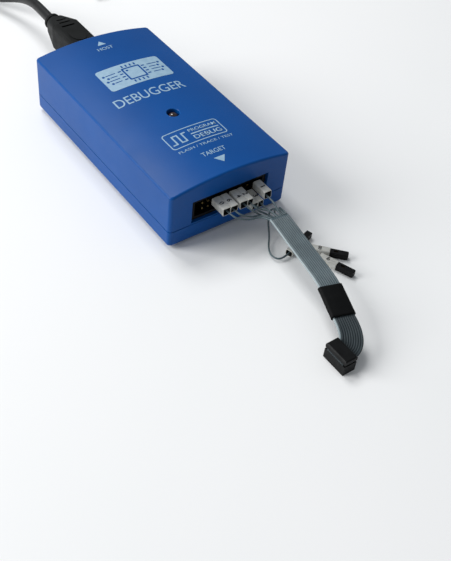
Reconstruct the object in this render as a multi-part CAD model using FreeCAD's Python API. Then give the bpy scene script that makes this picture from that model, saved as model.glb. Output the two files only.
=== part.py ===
import FreeCAD, Part
import math
import os

# USB microcontroller programmer: a moulded case with a 20 way target header at the front,
# a USB host lead at the back and an adapter lead of ten jumper sockets on the header.
# Frame: origin under the middle of the case, on the surface it stands on.
# +Y points to the USB end, -Y to the target header, +Z up. Millimetres.

V = FreeCAD.Vector
UP = V(0, 0, 1)

# --- case ---
case_width = 53.0
case_length = 100.0
case_height = 27.0
crown_rise = 2.8
wall = 2.0
seam_height = 8.0
corner_radius = 1.6
inner_corner_radius = 0.6
lip_corner_radius = 1.0
bottom_edge_radius = 1.8
top_edge_radius = 0.9
seam_groove = 0.35
lip_height = 1.0
lip_thickness = 0.8
lip_clearance = 0.1

# --- feet and screws ---
foot_radius = 4.5
foot_thickness = 1.8
foot_recess = 1.0
foot_edge_radius = 0.5
foot_clearance = 0.1
label_width = 40.0
label_length = 28.0
label_thickness = 0.1
screw_inset_y = 8.5
boss_gap = 0.4
screw_shank_radius = 1.25
screw_head_radius = 2.5
screw_head_height = 1.8
screw_head_depth = 2.6
screw_reach = 6.0
screw_clearance = 0.1
screw_slot_width = 0.6
screw_slot_length = 3.0
screw_slot_depth = 0.8
post_radius = 3.9
top_boss_radius = 3.1
pilot_clearance = 0.03

# --- circuit board ---
board_thickness = 1.6
board_top = 9.4
board_gap = 1.5
board_end_gap = 0.5

# --- target header ---
pin_pitch = 2.54
pin_columns = 10
pin_size = 0.64
pin_hole_radius = 0.5
pin_tail = 0.9
pin_leg_gap = 1.2
shroud_end = 3.8
shroud_height = 9.0
shroud_depth = 9.1
shroud_wall = 1.3
shroud_cavity_depth = 6.4
shroud_setback = 1.0
header_opening_gap = 0.5
pin_setback = 0.6
notch_width = 4.5

# --- chips and parts on the board ---
processor_y = 6.0
processor_size = 12.0
processor_height = 1.5
processor_pitch = 0.95
processor_leads = 11
shifter_x = (-11.0, 9.0)
shifter_gap = 4.36
shifter_size = (7.5, 12.8, 2.4)
shifter_pitch = 1.27
shifter_leads = 10
chip_lead = (1.1, 0.34, 0.3)
chip_lift = 0.1
regulator_x = -15.0
regulator_back = 7.5
regulator_size = (3.5, 6.4, 1.7)
regulator_tab = (1.5, 3.4, 0.4)
crystal_place = (13.35, -2.0)
crystal_size = (4.7, 11.0, 3.6)
crystal_corner = 1.8
capacitor_x = 15.0
capacitor_spacing = 16.0
capacitor_base = (6.6, 0.9)
capacitor_radius = 3.15
capacitor_height = 5.6
inductor_x = -13.5
inductor_ahead = 2.0
inductor_size = (5.0, 5.0, 3.0)
inductor_corner = 1.2
passive_x = 20.5
passive_start = -14.0
passive_pitch = 2.6
passive_count = 12
passive_size = (1.6, 0.8, 0.6)

# --- USB socket in the case ---
socket_width = 12.0
socket_height = 11.0
socket_depth = 15.5
socket_setback = 0.5
socket_metal = 0.4
socket_lift = 0.1
plug_opening_width = 8.9
plug_opening_height = 8.2
plug_opening_depth = 9.4
tongue_width = 5.6
tongue_height = 3.0
tongue_short = 0.7
tongue_root = 0.5
socket_core_setback = 0.2
socket_opening_gap = 0.3
usb_contact_width = 0.9
usb_contact_thick = 0.25
usb_contact_spread = 2.5
usb_contact_tail = 3.0
usb_contact_short = 0.8

# --- status light ---
led_y = -10.8
led_radius = 2.4
led_flange_radius = 2.8
led_flange_height = 1.0
led_height = 8.6
led_hole_clearance = 0.12
led_countersink = 0.2
led_drop = 0.35
led_pitch = 2.54
led_lead = 0.5
led_tail = 0.8
led_lead_hole = 0.4

# --- USB host lead ---
lead_gap = 0.6
plug_shell_width = 8.4
plug_shell_height = 7.7
plug_shell_metal = 0.35
plug_shell_length = 9.2
plug_shell_corner = 0.6
plug_insert_corner = 0.4
plug_insert_setback = 0.3
plug_insert_floor = 0.8
plug_tongue_gap = 0.25
grip_width = 12.4
grip_height = 11.8
grip_corner = 1.5
grip_length = 23.5
grip_taper = 8.5
neck_radius = 3.7
neck_length = 3.6
neck_square = 8.6
neck_corner = 2.8
neck_groove_start = 1.6
neck_groove_width = 0.7
neck_groove_depth = 0.5
slot_widths = (6.0, 5.2, 4.4)
slot_length = 1.0
slot_depth = 0.6
slot_pitch = 3.2
slot_start = 20.0
pad_length = 10.0
pad_width = 7.0
pad_rise = 0.35
pad_start = 12.5
cable_diameter = 4.5
coil_centre = (13.0, 170.0)
coil_ring_radius = 25.0
coil_columns = 3
coil_layers = 2
coil_edge = 1.2
tie_thickness = 0.4
tie_width = 4.0
host_body = (16.0, 20.0, 8.0)
host_corner = 1.6
host_shell = (12.0, 4.5)
host_shell_metal = 0.3
host_shell_length = 12.0
host_tongue_height = 1.8
host_tongue_short = 0.6
host_groove_start = 5.2
host_groove_width = 0.8
host_groove_depth = 0.4
host_window = (2.4, 2.2)
host_window_start = 5.0
host_window_spread = 5.0
cable_turns = 5.5

# --- jumper sockets ---
jumper_length = 14.2
jumper_body_length = 13.2
jumper_width = 2.3
jumper_height = 2.35
jumper_end_gap = 0.2
sleeve_gap = 0.02
sleeve_flare = 0.8
sleeve_rise = 0.57
free_sleeve_wall = (0.35, 0.275)
sleeve_length = 7.2
sleeve_corner = 0.15
contact_outer = 1.2
contact_bore = 0.84
contact_start = 0.8
contact_length = 9.2
contact_bore_length = 6.8
wire_diameter = 0.7
wire_cavity_radius = 0.6
wire_hole_overlap = 0.1
wire_stub = 2.3
jumper_mouth = 0.9
jumper_chamfer = 0.25
jumper_window = (0.8, 1.6, 0.6)
jumper_window_start = 4.0

# --- ribbon and its small plug ---
ribbon_pitch = 0.8
ribbon_ways = 10
ribbon_thickness = 0.8
shrink_wall = 0.6
idc_length = 10.0
idc_width = 5.2
idc_cover_height = 1.8
idc_pitch = 1.27
idc_contact = 0.45
idc_hole = 0.75
idc_contact_length = 3.4
idc_columns = 5
idc_key = (0.5, 2.4)
idc_key_drop = 1.2
idc_chamfer = 0.4

# --- places that follow from the sizes above ---
half_width = case_width / 2
half_length = case_length / 2
case_bottom = foot_thickness - foot_recess
edge_height = case_height - crown_rise
board_bottom = board_top - board_thickness
front = -half_length
rear = half_length
header_z = board_top + shroud_height / 2
shroud_width = pin_pitch * pin_columns + 2 * shroud_end
shroud_front = front + shroud_setback
shroud_floor = shroud_front + shroud_cavity_depth
shroud_back = shroud_front + shroud_depth
row_z = (header_z + pin_pitch / 2, header_z - pin_pitch / 2)
usb_z = board_top + socket_lift + socket_height / 2
usb_front = rear - socket_setback
usb_floor = usb_front - plug_opening_depth
screw_x = shroud_width / 2 + boss_gap + top_boss_radius
screw_y = half_length - screw_inset_y
screw_places = [(sx * screw_x, sy * screw_y) for sx in (-1, 1) for sy in (-1, 1)]
grip_start = rear + lead_gap
neck_end = grip_start + grip_length + grip_taper + neck_length
ribbon_width = ribbon_pitch * ribbon_ways
tight_half = (pin_pitch - sleeve_gap) / 2
free_half = (jumper_width / 2 + free_sleeve_wall[0], jumper_height / 2 + free_sleeve_wall[1])

# Header columns that carry a jumper socket: column from the left, row 0 upper or 1 lower,
# and the side on which its wide sleeve stands out, -1 left, 1 right, 0 neither.
plugged = ((2, 0, -1), (3, 0, 1), (5, 0, -1), (6, 0, 0), (7, 1, 0), (8, 1, 0), (9, 0, 1))
# Free jumper sockets on the floor: tip x, y and the way they point.
free_sockets = (
    (23.4, -70.6, 0.95, 0.31),
    (28.1, -87.5, 0.68, -0.73),
    (23.7, -95.7, 0.36, -0.93),
)

# Ribbon stations: x, y, z and the turn of its width about Z in degrees.
ribbon_stations = (
    (9.9, -66.6, 12.8, 0),
    (9.4, -71.5, 12.5, -3),
    (8.8, -77.0, 11.9, -4),
    (8.2, -84.3, 11.0, -5),
    (7.6, -92.0, 10.1, -8),
    (6.8, -98.0, 9.6, -14),
    (6.0, -101.2, 9.3, -18),
    (2.0, -113.0, 8.2, -18),
    (1.3, -116.2, 7.6, -22),
    (0.4, -119.2, 6.5, -38),
    (-1.0, -121.6, 5.4, -60),
    (-2.6, -122.9, 4.8, -80),
    (-4.4, -123.3, 4.6, -90),
    (-9.6, -123.3, 4.6, -90),
)
shrink_span = (6, 7)
idc_span = (12, 13)

# Host cable, from the plug's neck down to the coil.
cable_route = (
    (0.0, neck_end, usb_z),
    (0.2, 95.5, usb_z + 0.1),
    (0.6, 106.5, 14.4),
    (-0.6, 117.5, 11.2),
    (-4.2, 128.0, 6.8),
    (-9.0, 138.3, 3.6),
    (-13.4, 148.7, 2.9),
    (-16.0, 159.5, 2.85),
    (-16.5, 170.0, 2.85),
)
tail_route = (
    (42.5, 170.0, 7.15),
    (43.4, 163.5, 6.4),
    (45.2, 157.0, 4.8),
    (46.2, 150.0, 4.0),
)

# Ways of the wires between their sleeve and the ribbon's end; both ends are added.
wire_ways = (
    ((-4.4, -61.4, 14.2), (0.2, -62.3, 12.6), (4.3, -62.2, 11.8), (5.9, -64.1, 12.2)),
    ((-1.8, -60.9, 14.2), (1.6, -61.4, 12.6), (5.2, -61.2, 11.6), (6.8, -63.4, 12.1)),
    ((3.0, -60.8, 14.1), (5.8, -60.1, 11.0), (7.7, -63.5, 10.8)),
    ((5.3, -60.8, 13.1), (7.5, -60.6, 11.4), (9.1, -62.8, 10.7)),
    ((8.2, -61.2, 13.0), (9.4, -63.6, 12.9)),
    ((9.6, -61.6, 11.8), (10.2, -64.0, 12.1)),
    ((11.5, -61.9, 14.7), (11.2, -64.2, 13.3)),
)
free_wire_ways = (
    ((11.9, -62.4, 12.8), (11.6, -59.6, 10.2), (11.0, -60.0, 5.6), (9.2, -64.0, 2.0),
     (5.8, -68.0, 0.9), (3.8, -71.9, 1.0), (4.5, -75.3, 1.3)),
    ((12.7, -62.4, 12.8), (13.2, -59.8, 9.9), (13.6, -62.0, 6.4), (13.0, -66.8, 5.4),
     (13.6, -71.4, 5.3), (15.3, -75.1, 3.6)),
    ((13.5, -63.0, 12.9), (14.9, -60.6, 10.4), (15.8, -62.8, 7.2), (15.4, -67.8, 5.6),
     (15.4, -73.0, 5.2), (16.4, -77.8, 3.0)),
)

nodes = {}


def box(x0, x1, y0, y1, z0, z1):
    return Part.makeBox(x1 - x0, y1 - y0, z1 - z0, V(x0, y0, z0))


def centred(width, y0, y1, height, z, x=0.0):
    return box(x - width / 2, x + width / 2, y0, y1, z - height / 2, z + height / 2)


def rod(x, y, z0, z1, radius):
    return Part.makeCylinder(radius, z1 - z0, V(x, y, z0), UP)


def group(solids):
    return Part.makeCompound([s for shape in solids for s in shape.Solids])


def fuse(solids):
    joined = solids[0].multiFuse(solids[1:]) if len(solids) > 1 else solids[0]
    return joined.removeSplitter()


def edges_where(shape, test):
    return [e for e in shape.Edges if test(e)]


def is_upright(edge):
    ends = [v.Point for v in edge.Vertexes]
    if len(ends) != 2:
        return False
    step = ends[1] - ends[0]
    return math.hypot(step.x, step.y) < 1e-6 and abs(step.z) > 1e-3


def rounded_outline(width, height, radius, y, z, x=0.0):
    """A rounded rectangle in an XZ plane, as a wire."""
    a, b = width / 2 - radius, height / 2 - radius
    w, h, s = width / 2, height / 2, radius * math.sqrt(0.5)

    def at(px, pz):
        return V(x + px, y, z + pz)

    edges = [
        Part.LineSegment(at(-a, -h), at(a, -h)).toShape(),
        Part.Arc(at(a, -h), at(a + s, -b - s), at(w, -b)).toShape(),
        Part.LineSegment(at(w, -b), at(w, b)).toShape(),
        Part.Arc(at(w, b), at(a + s, b + s), at(a, h)).toShape(),
        Part.LineSegment(at(a, h), at(-a, h)).toShape(),
        Part.Arc(at(-a, h), at(-a - s, b + s), at(-w, b)).toShape(),
        Part.LineSegment(at(-w, b), at(-w, -b)).toShape(),
        Part.Arc(at(-w, -b), at(-a - s, -b - s), at(-a, -h)).toShape(),
    ]
    return Part.Wire(edges)


def rounded_bar(width, height, radius, y0, y1, z, x=0.0):
    face = Part.Face(rounded_outline(width, height, radius, y0, z, x))
    return face.extrude(V(0, y1 - y0, 0))


# --- cords ---
def bend_radius(a, b, c):
    """Arc radius at b: 0.45 of the shorter run over the tangent of half the turn."""
    turn = (b - a).getAngle(c - b)
    return 0.45 * min((b - a).Length, (c - b).Length) / math.tan(turn / 2)


def cord_path(points):
    """Straight runs joined by tangent arcs."""
    edges = []
    start = points[0]
    for a, b, c in zip(points, points[1:], points[2:]):
        trim = 0.45 * min((b - a).Length, (c - b).Length)
        into = (b - a).normalize()
        out = (c - b).normalize()
        first = b - into * trim
        last = b + out * trim
        turn = into.getAngle(out)
        radius = trim / math.tan(turn / 2)
        inward = (out - into).normalize()
        centre = b + inward * math.hypot(trim, radius)
        middle = centre - inward * radius
        edges.append(Part.LineSegment(start, first).toShape())
        edges.append(Part.Arc(first, middle, last).toShape())
        start = last
    edges.append(Part.LineSegment(start, points[-1]).toShape())
    return Part.Wire(edges)


def cord(points, diameter, label):
    """A round cord along the points; prints its bend radii, length and volume."""
    points = [V(*p) for p in points]
    path = cord_path(points)
    ring = Part.Wire(Part.makeCircle(diameter / 2, points[0], points[1] - points[0]))
    tube = path.makePipeShell([ring], True, False)
    radii = [bend_radius(*three) for three in zip(points, points[1:], points[2:])]
    runs = [(b - a).Length for a, b in zip(points, points[1:])]
    ratio = tube.Volume / (path.Length * math.pi * diameter ** 2 / 4)
    print(label, "length", round(path.Length, 1), "least radius", round(min(radii), 2),
          "longest run", round(max(runs), 1), "volume ratio", round(ratio, 4))
    return tube


# --- case ---
def case_block(inset, low, rise_inset, radius):
    """The case's outer form, drawn in by inset on its sides and rise_inset at its top."""
    w = half_width - inset
    y0, y1 = front + inset, rear - inset
    side = edge_height - rise_inset
    crown = case_height - rise_inset
    outline = Part.Wire([
        Part.LineSegment(V(-w, y0, low), V(w, y0, low)).toShape(),
        Part.LineSegment(V(w, y0, low), V(w, y0, side)).toShape(),
        Part.Arc(V(w, y0, side), V(0, y0, crown), V(-w, y0, side)).toShape(),
        Part.LineSegment(V(-w, y0, side), V(-w, y0, low)).toShape(),
    ])
    block = Part.Face(outline).extrude(V(0, y1 - y0, 0))
    return block.makeFillet(radius, edges_where(block, is_upright))


def outer_form():
    block = case_block(0, case_bottom, 0, corner_radius)
    foot_edges = edges_where(block, lambda e: e.BoundBox.ZMax < case_bottom + 1e-6)
    block = block.makeFillet(bottom_edge_radius, foot_edges)
    top_edges = edges_where(block, lambda e: e.BoundBox.ZMin > edge_height - 0.6)
    return block.makeFillet(top_edge_radius, top_edges)


def case_openings():
    """Cuts through the case walls for the header and the USB socket."""
    gap = header_opening_gap
    header = centred(shroud_width + 2 * gap, front - 1, front + wall + 1,
                     shroud_height + 2 * gap, header_z)
    gap = socket_opening_gap
    usb = centred(socket_width + 2 * gap, rear - wall - 1, rear + 1,
                  socket_height + 2 * gap, usb_z)
    return [header, usb]


def layer(z0, z1):
    """All the space between two heights, well beyond the case's sides."""
    return box(-case_width, case_width, -case_length, case_length, z0, z1)


def lip_ring(clearance):
    """The ledge that stands up from the bottom cover inside the top cover's wall."""
    outer = case_block(wall - lip_thickness - clearance, seam_height - 1, 0, lip_corner_radius)
    inner = case_block(wall, seam_height - 2, 0, inner_corner_radius)
    top = seam_height + lip_height + clearance
    ring = outer.cut(inner)
    return ring.common(layer(seam_height, top))


def build_covers():
    form = outer_form()
    hollow = case_block(wall, case_bottom + wall, wall, inner_corner_radius)
    shell = form.cut(hollow)
    top = shell.common(layer(seam_height, case_height + 1))
    bosses = [rod(x, y, board_top, case_height, top_boss_radius).common(form)
              for x, y in screw_places]
    top = fuse([top] + bosses)
    groove = layer(seam_height, seam_height + seam_groove)
    groove = groove.cut(case_block(seam_groove, seam_height - 1, 0, corner_radius))
    top = top.cut(groove).cut(lip_ring(lip_clearance))
    pilot = screw_shank_radius + pilot_clearance
    pilot_top = board_top + screw_reach + 1
    for x, y in screw_places:
        top = top.cut(rod(x, y, board_top - 1, pilot_top, pilot))
    hole = led_radius + led_hole_clearance
    cone = Part.makeCone(hole, hole + 2 * led_countersink, 2 * led_countersink,
                         V(0, led_y, case_height - led_countersink), UP)
    top = top.cut(rod(0, led_y, board_top, case_height + 1, hole)).cut(cone)

    bottom = shell.common(layer(0, seam_height))
    post_root = case_bottom + wall / 2
    posts = [rod(x, y, post_root, board_bottom, post_radius) for x, y in screw_places]
    bottom = fuse([bottom, lip_ring(0)] + posts)
    head_top = case_bottom + foot_recess + screw_head_depth
    for x, y in screw_places:
        bottom = bottom.cut(rod(x, y, -1, case_bottom + foot_recess, foot_radius + foot_clearance))
        bottom = bottom.cut(rod(x, y, -1, head_top, screw_head_radius + screw_clearance))
        bottom = bottom.cut(rod(x, y, -1, board_bottom + 1, screw_shank_radius + screw_clearance))
    for opening in case_openings():
        top = top.cut(opening)
        bottom = bottom.cut(opening)
    nodes["top_cover"] = top
    nodes["bottom_cover"] = bottom


def build_fasteners():
    head_top = case_bottom + foot_recess + screw_head_depth
    screws = []
    for x, y in screw_places:
        shank = rod(x, y, head_top, board_top + screw_reach, screw_shank_radius)
        head = rod(x, y, head_top - screw_head_height, head_top, screw_head_radius)
        screw = fuse([shank, head])
        depth = head_top - screw_head_height + screw_slot_depth
        long_half, short_half = screw_slot_length / 2, screw_slot_width / 2
        for across, along in ((long_half, short_half), (short_half, long_half)):
            screw = screw.cut(box(x - across, x + across, y - along, y + along, 0, depth))
        screws.append(screw)
    nodes["case_screws"] = group(screws)
    feet = []
    for x, y in screw_places:
        foot = rod(x, y, 0, foot_thickness, foot_radius)
        rim = edges_where(foot, lambda e: e.BoundBox.ZMax < 1e-6)
        feet.append(foot.makeFillet(foot_edge_radius, rim))
    nodes["rubber_feet"] = group(feet)
    nodes["rating_label"] = box(-label_width / 2, label_width / 2, -label_length / 2,
                                label_length / 2, case_bottom - label_thickness, case_bottom)


# --- circuit board and what stands on it ---
def header_pin(column, row):
    x = (column - (pin_columns - 1) / 2) * pin_pitch
    z = row_z[row]
    half = pin_size / 2
    leg_y = shroud_back + pin_leg_gap + (pin_pitch if row == 0 else 0)
    reach = box(x - half, x + half, shroud_front + pin_setback, leg_y + half, z - half, z + half)
    leg = box(x - half, x + half, leg_y - half, leg_y + half,
              board_bottom - pin_tail, z + half)
    return reach.fuse(leg).removeSplitter(), (x, leg_y)


def build_board():
    half_x = half_width - wall - board_gap
    y_end = half_length - wall - board_end_gap
    board = box(-half_x, half_x, -y_end, y_end, board_bottom, board_top)
    for x, y in screw_places:
        board = board.cut(rod(x, y, 0, board_top + 1, screw_shank_radius + screw_clearance))
    pins = []
    for row in (0, 1):
        for column in range(pin_columns):
            pin, place = header_pin(column, row)
            pins.append(pin)
            board = board.cut(rod(place[0], place[1], 0, board_top + 1, pin_hole_radius))
    nodes["header_pins"] = group(pins)

    shroud = centred(shroud_width, shroud_front, shroud_back, shroud_height, header_z)
    cavity = centred(shroud_width - 2 * shroud_wall, shroud_front - 1, shroud_floor,
                     shroud_height - 2 * shroud_wall, header_z)
    notch = box(-notch_width / 2, notch_width / 2, shroud_front - 1, shroud_floor,
                header_z - shroud_height, header_z)
    shroud = shroud.cut(cavity).cut(notch)
    for pin in pins:
        shroud = shroud.cut(pin)
    nodes["header_shroud"] = shroud

    for x in (-led_pitch / 2, led_pitch / 2):
        board = board.cut(rod(x, led_y, 0, board_top + 1, led_lead_hole))
    nodes["circuit_board"] = board


def build_usb_socket():
    back = usb_front - socket_depth
    shell = centred(socket_width, back, usb_front, socket_height, usb_z)
    inside_width = socket_width - 2 * socket_metal
    inside_height = socket_height - 2 * socket_metal
    inside = centred(inside_width, back - 1, usb_front + 1, inside_height, usb_z)
    nodes["usb_socket_shell"] = shell.cut(inside)
    core = centred(inside_width, back, usb_front - socket_core_setback, inside_height, usb_z)
    core = core.cut(centred(plug_opening_width, usb_floor, usb_front + 1,
                            plug_opening_height, usb_z))
    tongue = centred(tongue_width, usb_floor - tongue_root, usb_front - tongue_short,
                     tongue_height, usb_z)
    core = fuse([core, tongue])
    contacts = []
    tip = usb_front - tongue_short - usb_contact_short
    for x in (-usb_contact_spread / 2, usb_contact_spread / 2):
        for side in (-1, 1):
            z = usb_z + side * (tongue_height - usb_contact_thick) / 2
            strip = centred(usb_contact_width, usb_floor - usb_contact_tail, tip,
                            usb_contact_thick, z, x)
            contacts.append(strip)
            core = core.cut(strip)
    nodes["usb_socket_core"] = core
    nodes["usb_socket_contacts"] = group(contacts)


def build_light():
    top = case_height - led_drop
    base = top - led_height
    dome = Part.makeSphere(led_radius, V(0, led_y, top - led_radius), UP, -90, 90, 360)
    barrel = rod(0, led_y, base, top - led_radius, led_radius)
    flange = rod(0, led_y, base, base + led_flange_height, led_flange_radius)
    upper = rod(0, led_y, top - led_radius, top + 1, 2 * led_radius)
    nodes["status_led"] = fuse([barrel, flange, dome.common(upper)])
    half = led_lead / 2
    leads = [box(sx * led_pitch / 2 - half, sx * led_pitch / 2 + half, led_y - half,
                 led_y + half, board_bottom - led_tail, base) for sx in (-1, 1)]
    nodes["led_leads"] = group(leads)


def on_board(x, y, size, lift=0.0):
    """A block of that width, length and height on the board, with its middle at x, y."""
    width, length, height = size
    return box(x - width / 2, x + width / 2, y - length / 2, y + length / 2,
               board_top + lift, board_top + height)


def chip_with_leads(x, y, size, per_side, pitch, sides):
    """A flat chip body and its leads, which lie on the board beside it."""
    reach, breadth, thick = chip_lead
    half_width_and_lead = (size[0] + reach) / 2
    half_length_and_lead = (size[1] + reach) / 2
    leads = []
    for i in range(per_side):
        along = (i - (per_side - 1) / 2) * pitch
        for side in (-1, 1):
            leads.append(on_board(x + side * half_width_and_lead, y + along,
                                  (reach, breadth, thick)))
            if sides == 4:
                leads.append(on_board(x + along, y + side * half_length_and_lead,
                                      (breadth, reach, thick)))
    return on_board(x, y, size, chip_lift), leads


def build_electronics():
    size = (processor_size, processor_size, processor_height)
    body, leads = chip_with_leads(0, processor_y, size, processor_leads, processor_pitch, 4)
    nodes["processor_chip"] = body
    nodes["processor_leads"] = group(leads)

    pin_legs_end = shroud_back + pin_leg_gap + pin_pitch + pin_size / 2
    shifter_y = pin_legs_end + shifter_gap + shifter_size[1] / 2
    bodies, leads = [], []
    for x in shifter_x:
        chip, legs = chip_with_leads(x, shifter_y, shifter_size, shifter_leads, shifter_pitch, 2)
        bodies.append(chip)
        leads.extend(legs)
    nodes["level_shifters"] = group(bodies)
    nodes["shifter_leads"] = group(leads)

    socket_back = usb_front - socket_depth
    regulator_y = socket_back - regulator_back
    block = on_board(regulator_x + regulator_size[0] / 2, regulator_y, regulator_size)
    tab = on_board(regulator_x - regulator_tab[0] / 2, regulator_y, regulator_tab)
    nodes["voltage_regulator"] = fuse([block, tab])
    crystal = on_board(*crystal_place, crystal_size)
    nodes["clock_crystal"] = crystal.makeFillet(crystal_corner, edges_where(crystal, is_upright))

    cans = []
    base_side, base_height = capacitor_base
    for y in (socket_back - capacitor_spacing, socket_back):
        base = on_board(capacitor_x, y, (base_side, base_side, base_height))
        can = rod(capacitor_x, y, board_top + base_height, board_top + capacitor_height,
                  capacitor_radius)
        cans.append(fuse([base, can]))
    nodes["supply_capacitors"] = group(cans)
    coil = on_board(inductor_x, socket_back + inductor_ahead, inductor_size)
    nodes["filter_inductor"] = coil.makeFillet(inductor_corner, edges_where(coil, is_upright))

    bits = []
    for i in range(passive_count):
        for x in (-passive_x, passive_x):
            bits.append(on_board(x, passive_start + i * passive_pitch, passive_size))
    nodes["chip_passives"] = group(bits)


# --- USB host lead ---
def build_usb_plug():
    shell_end = grip_start - plug_shell_length
    outer = rounded_bar(plug_shell_width, plug_shell_height, plug_shell_corner, shell_end,
                        grip_start, usb_z)
    inner_width = plug_shell_width - 2 * plug_shell_metal
    inner_height = plug_shell_height - 2 * plug_shell_metal
    inner = rounded_bar(inner_width, inner_height, plug_insert_corner, shell_end - 1,
                        grip_start + 1, usb_z)
    nodes["usb_plug_shell"] = outer.cut(inner)
    insert = rounded_bar(inner_width, inner_height, plug_insert_corner,
                         shell_end + plug_insert_setback, grip_start, usb_z)
    hole = centred(tongue_width + 2 * plug_tongue_gap, shell_end - 1,
                   grip_start - plug_insert_floor,
                   tongue_height + 2 * plug_tongue_gap, usb_z)
    nodes["usb_plug_insert"] = insert.cut(hole)

    taper_start = grip_start + grip_length
    taper_end = taper_start + grip_taper
    body = rounded_bar(grip_width, grip_height, grip_corner, grip_start, taper_start, usb_z)
    taper = Part.makeLoft([
        rounded_outline(grip_width, grip_height, grip_corner, taper_start, usb_z),
        rounded_outline(neck_square, neck_square, neck_corner, taper_end, usb_z),
    ], True, True)
    neck = Part.makeCylinder(neck_radius, neck_length, V(0, taper_end, usb_z), V(0, 1, 0))
    body = fuse([body, taper, neck])
    ring_place = V(0, taper_end + neck_groove_start, usb_z)
    ring = Part.makeCylinder(neck_radius + 1, neck_groove_width, ring_place, V(0, 1, 0))
    core = Part.makeCylinder(neck_radius - neck_groove_depth, neck_groove_width, ring_place,
                             V(0, 1, 0))
    body = body.cut(ring.cut(core))
    taper_slope = (grip_height - neck_square) / 2 / grip_taper
    for side in (-1, 1):
        face = usb_z + side * grip_height / 2
        for i, width in enumerate(slot_widths):
            y = grip_start + slot_start + i * slot_pitch
            sink = slot_depth + taper_slope * max(0, y + slot_length - taper_start)
            body = body.cut(centred(width, y, y + slot_length, 2 * sink, face))
    pad = Part.makeCylinder(pad_length / 2, pad_rise, V(0, 0, 0), UP)
    stretch = FreeCAD.Matrix()
    stretch.scale(pad_width / pad_length, 1, 1)
    pad = pad.transformGeometry(stretch)
    pad.translate(V(0, grip_start + pad_start, usb_z + grip_height / 2))
    nodes["usb_plug_body"] = fuse([body, pad])


def build_cable():
    half_radial = coil_columns * cable_diameter / 2
    height = coil_layers * cable_diameter
    inner_radius = coil_ring_radius - half_radial
    outer_radius = coil_ring_radius + half_radial
    low = tie_thickness
    centre = V(coil_centre[0], coil_centre[1], low)
    coil = Part.makeCylinder(outer_radius, height, centre, UP)
    coil = coil.cut(Part.makeCylinder(inner_radius, height, centre, UP))
    coil = coil.makeFillet(coil_edge, edges_where(coil, lambda e: len(e.Vertexes) == 1))
    nodes["usb_cable_coil"] = coil

    y0 = coil_centre[1] + inner_radius
    y1 = coil_centre[1] + outer_radius
    x0 = coil_centre[0] - tie_width / 2
    x1 = coil_centre[0] + tie_width / 2
    band = box(x0, x1, y0 - tie_thickness, y1 + tie_thickness, 0, height + 2 * tie_thickness)
    band = band.cut(box(x0 - 1, x1 + 1, y0, y1, low, low + height))
    nodes["cable_tie"] = band.cut(coil)

    tube = cord(cable_route, cable_diameter, "usb_cable")
    nodes["usb_cable"] = tube.cut(coil).cut(nodes["usb_plug_body"])
    tail = cord(tail_route, cable_diameter, "usb_cable_tail")
    nodes["usb_cable_tail"] = tail.cut(coil).cut(nodes["host_plug_body"])
    turns = cable_turns * 2 * math.pi * coil_ring_radius
    print("host lead length about", round(cord_path([V(*p) for p in cable_route]).Length
          + turns + cord_path([V(*p) for p in tail_route]).Length))


def build_host_plug():
    x, y, z = tail_route[-1]
    width, length, height = host_body
    body = rounded_bar(width, height, host_corner, y - length, y, z, x)
    y1 = y - host_groove_start
    y0 = y1 - host_groove_width
    waist = 2 * host_groove_depth
    groove = rounded_bar(width + 1, height + 1, host_corner, y0, y1, z, x)
    kept = rounded_bar(width - waist, height - waist, host_corner, y0, y1, z, x)
    nodes["host_plug_body"] = body.cut(groove.cut(kept))
    shell_width, shell_height = host_shell
    end = y - length - host_shell_length
    metal = centred(shell_width, end, y - length, shell_height, z, x)
    inner = centred(shell_width - 2 * host_shell_metal, end - 1, y,
                    shell_height - 2 * host_shell_metal, z, x)
    y0 = end + host_window_start
    for shift in (-host_window_spread / 2, host_window_spread / 2):
        for side in (-1, 1):
            metal = metal.cut(centred(host_window[0], y0, y0 + host_window[1], 1,
                                      z + side * shell_height / 2, x + shift))
    nodes["host_plug_shell"] = metal.cut(inner)
    low = z - shell_height / 2 + host_shell_metal
    nodes["host_plug_tongue"] = box(
        x - shell_width / 2 + host_shell_metal, x + shell_width / 2 - host_shell_metal,
        end + host_tongue_short, y - length, low, low + host_tongue_height)


# --- adapter lead ---
def jumper():
    """One jumper socket with its tip at the origin, pointing along +Y."""
    body = centred(jumper_width, -jumper_body_length, 0, jumper_height, 0)
    tip = edges_where(body, lambda e: e.BoundBox.YMin > -1e-6)
    body = body.makeChamfer(jumper_chamfer, tip)
    back = -(contact_start + contact_length)
    body = body.cut(centred(jumper_mouth, -contact_start - 1, 1, jumper_mouth, 0))
    body = body.cut(centred(contact_outer, back, -contact_start, contact_outer, 0))
    width, length, depth = jumper_window
    body = body.cut(centred(width, -jumper_window_start - length, -jumper_window_start,
                            2 * depth, jumper_height / 2))
    rear_hole = Part.makeCylinder(wire_cavity_radius, jumper_length,
                                  V(0, back - jumper_length + wire_hole_overlap, 0), V(0, 1, 0))
    body = body.cut(rear_hole)
    contact = centred(contact_outer, back, -contact_start, contact_outer, 0)
    contact = contact.cut(centred(contact_bore, -contact_start - contact_bore_length, 1,
                                  contact_bore, 0))
    return body, contact


def sleeve_reach(index):
    """How far a socket's sleeve reaches from its middle: left, right, down and up."""
    if index >= len(plugged):
        return free_half[0], free_half[0], free_half[1], free_half[1]
    _, row, side = plugged[index]
    left = tight_half + (sleeve_flare if side < 0 else 0)
    right = tight_half + (sleeve_flare if side > 0 else 0)
    up = tight_half + (sleeve_rise if row == 0 else 0)
    down = tight_half + (sleeve_rise if row == 1 else 0)
    return left, right, down, up


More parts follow.
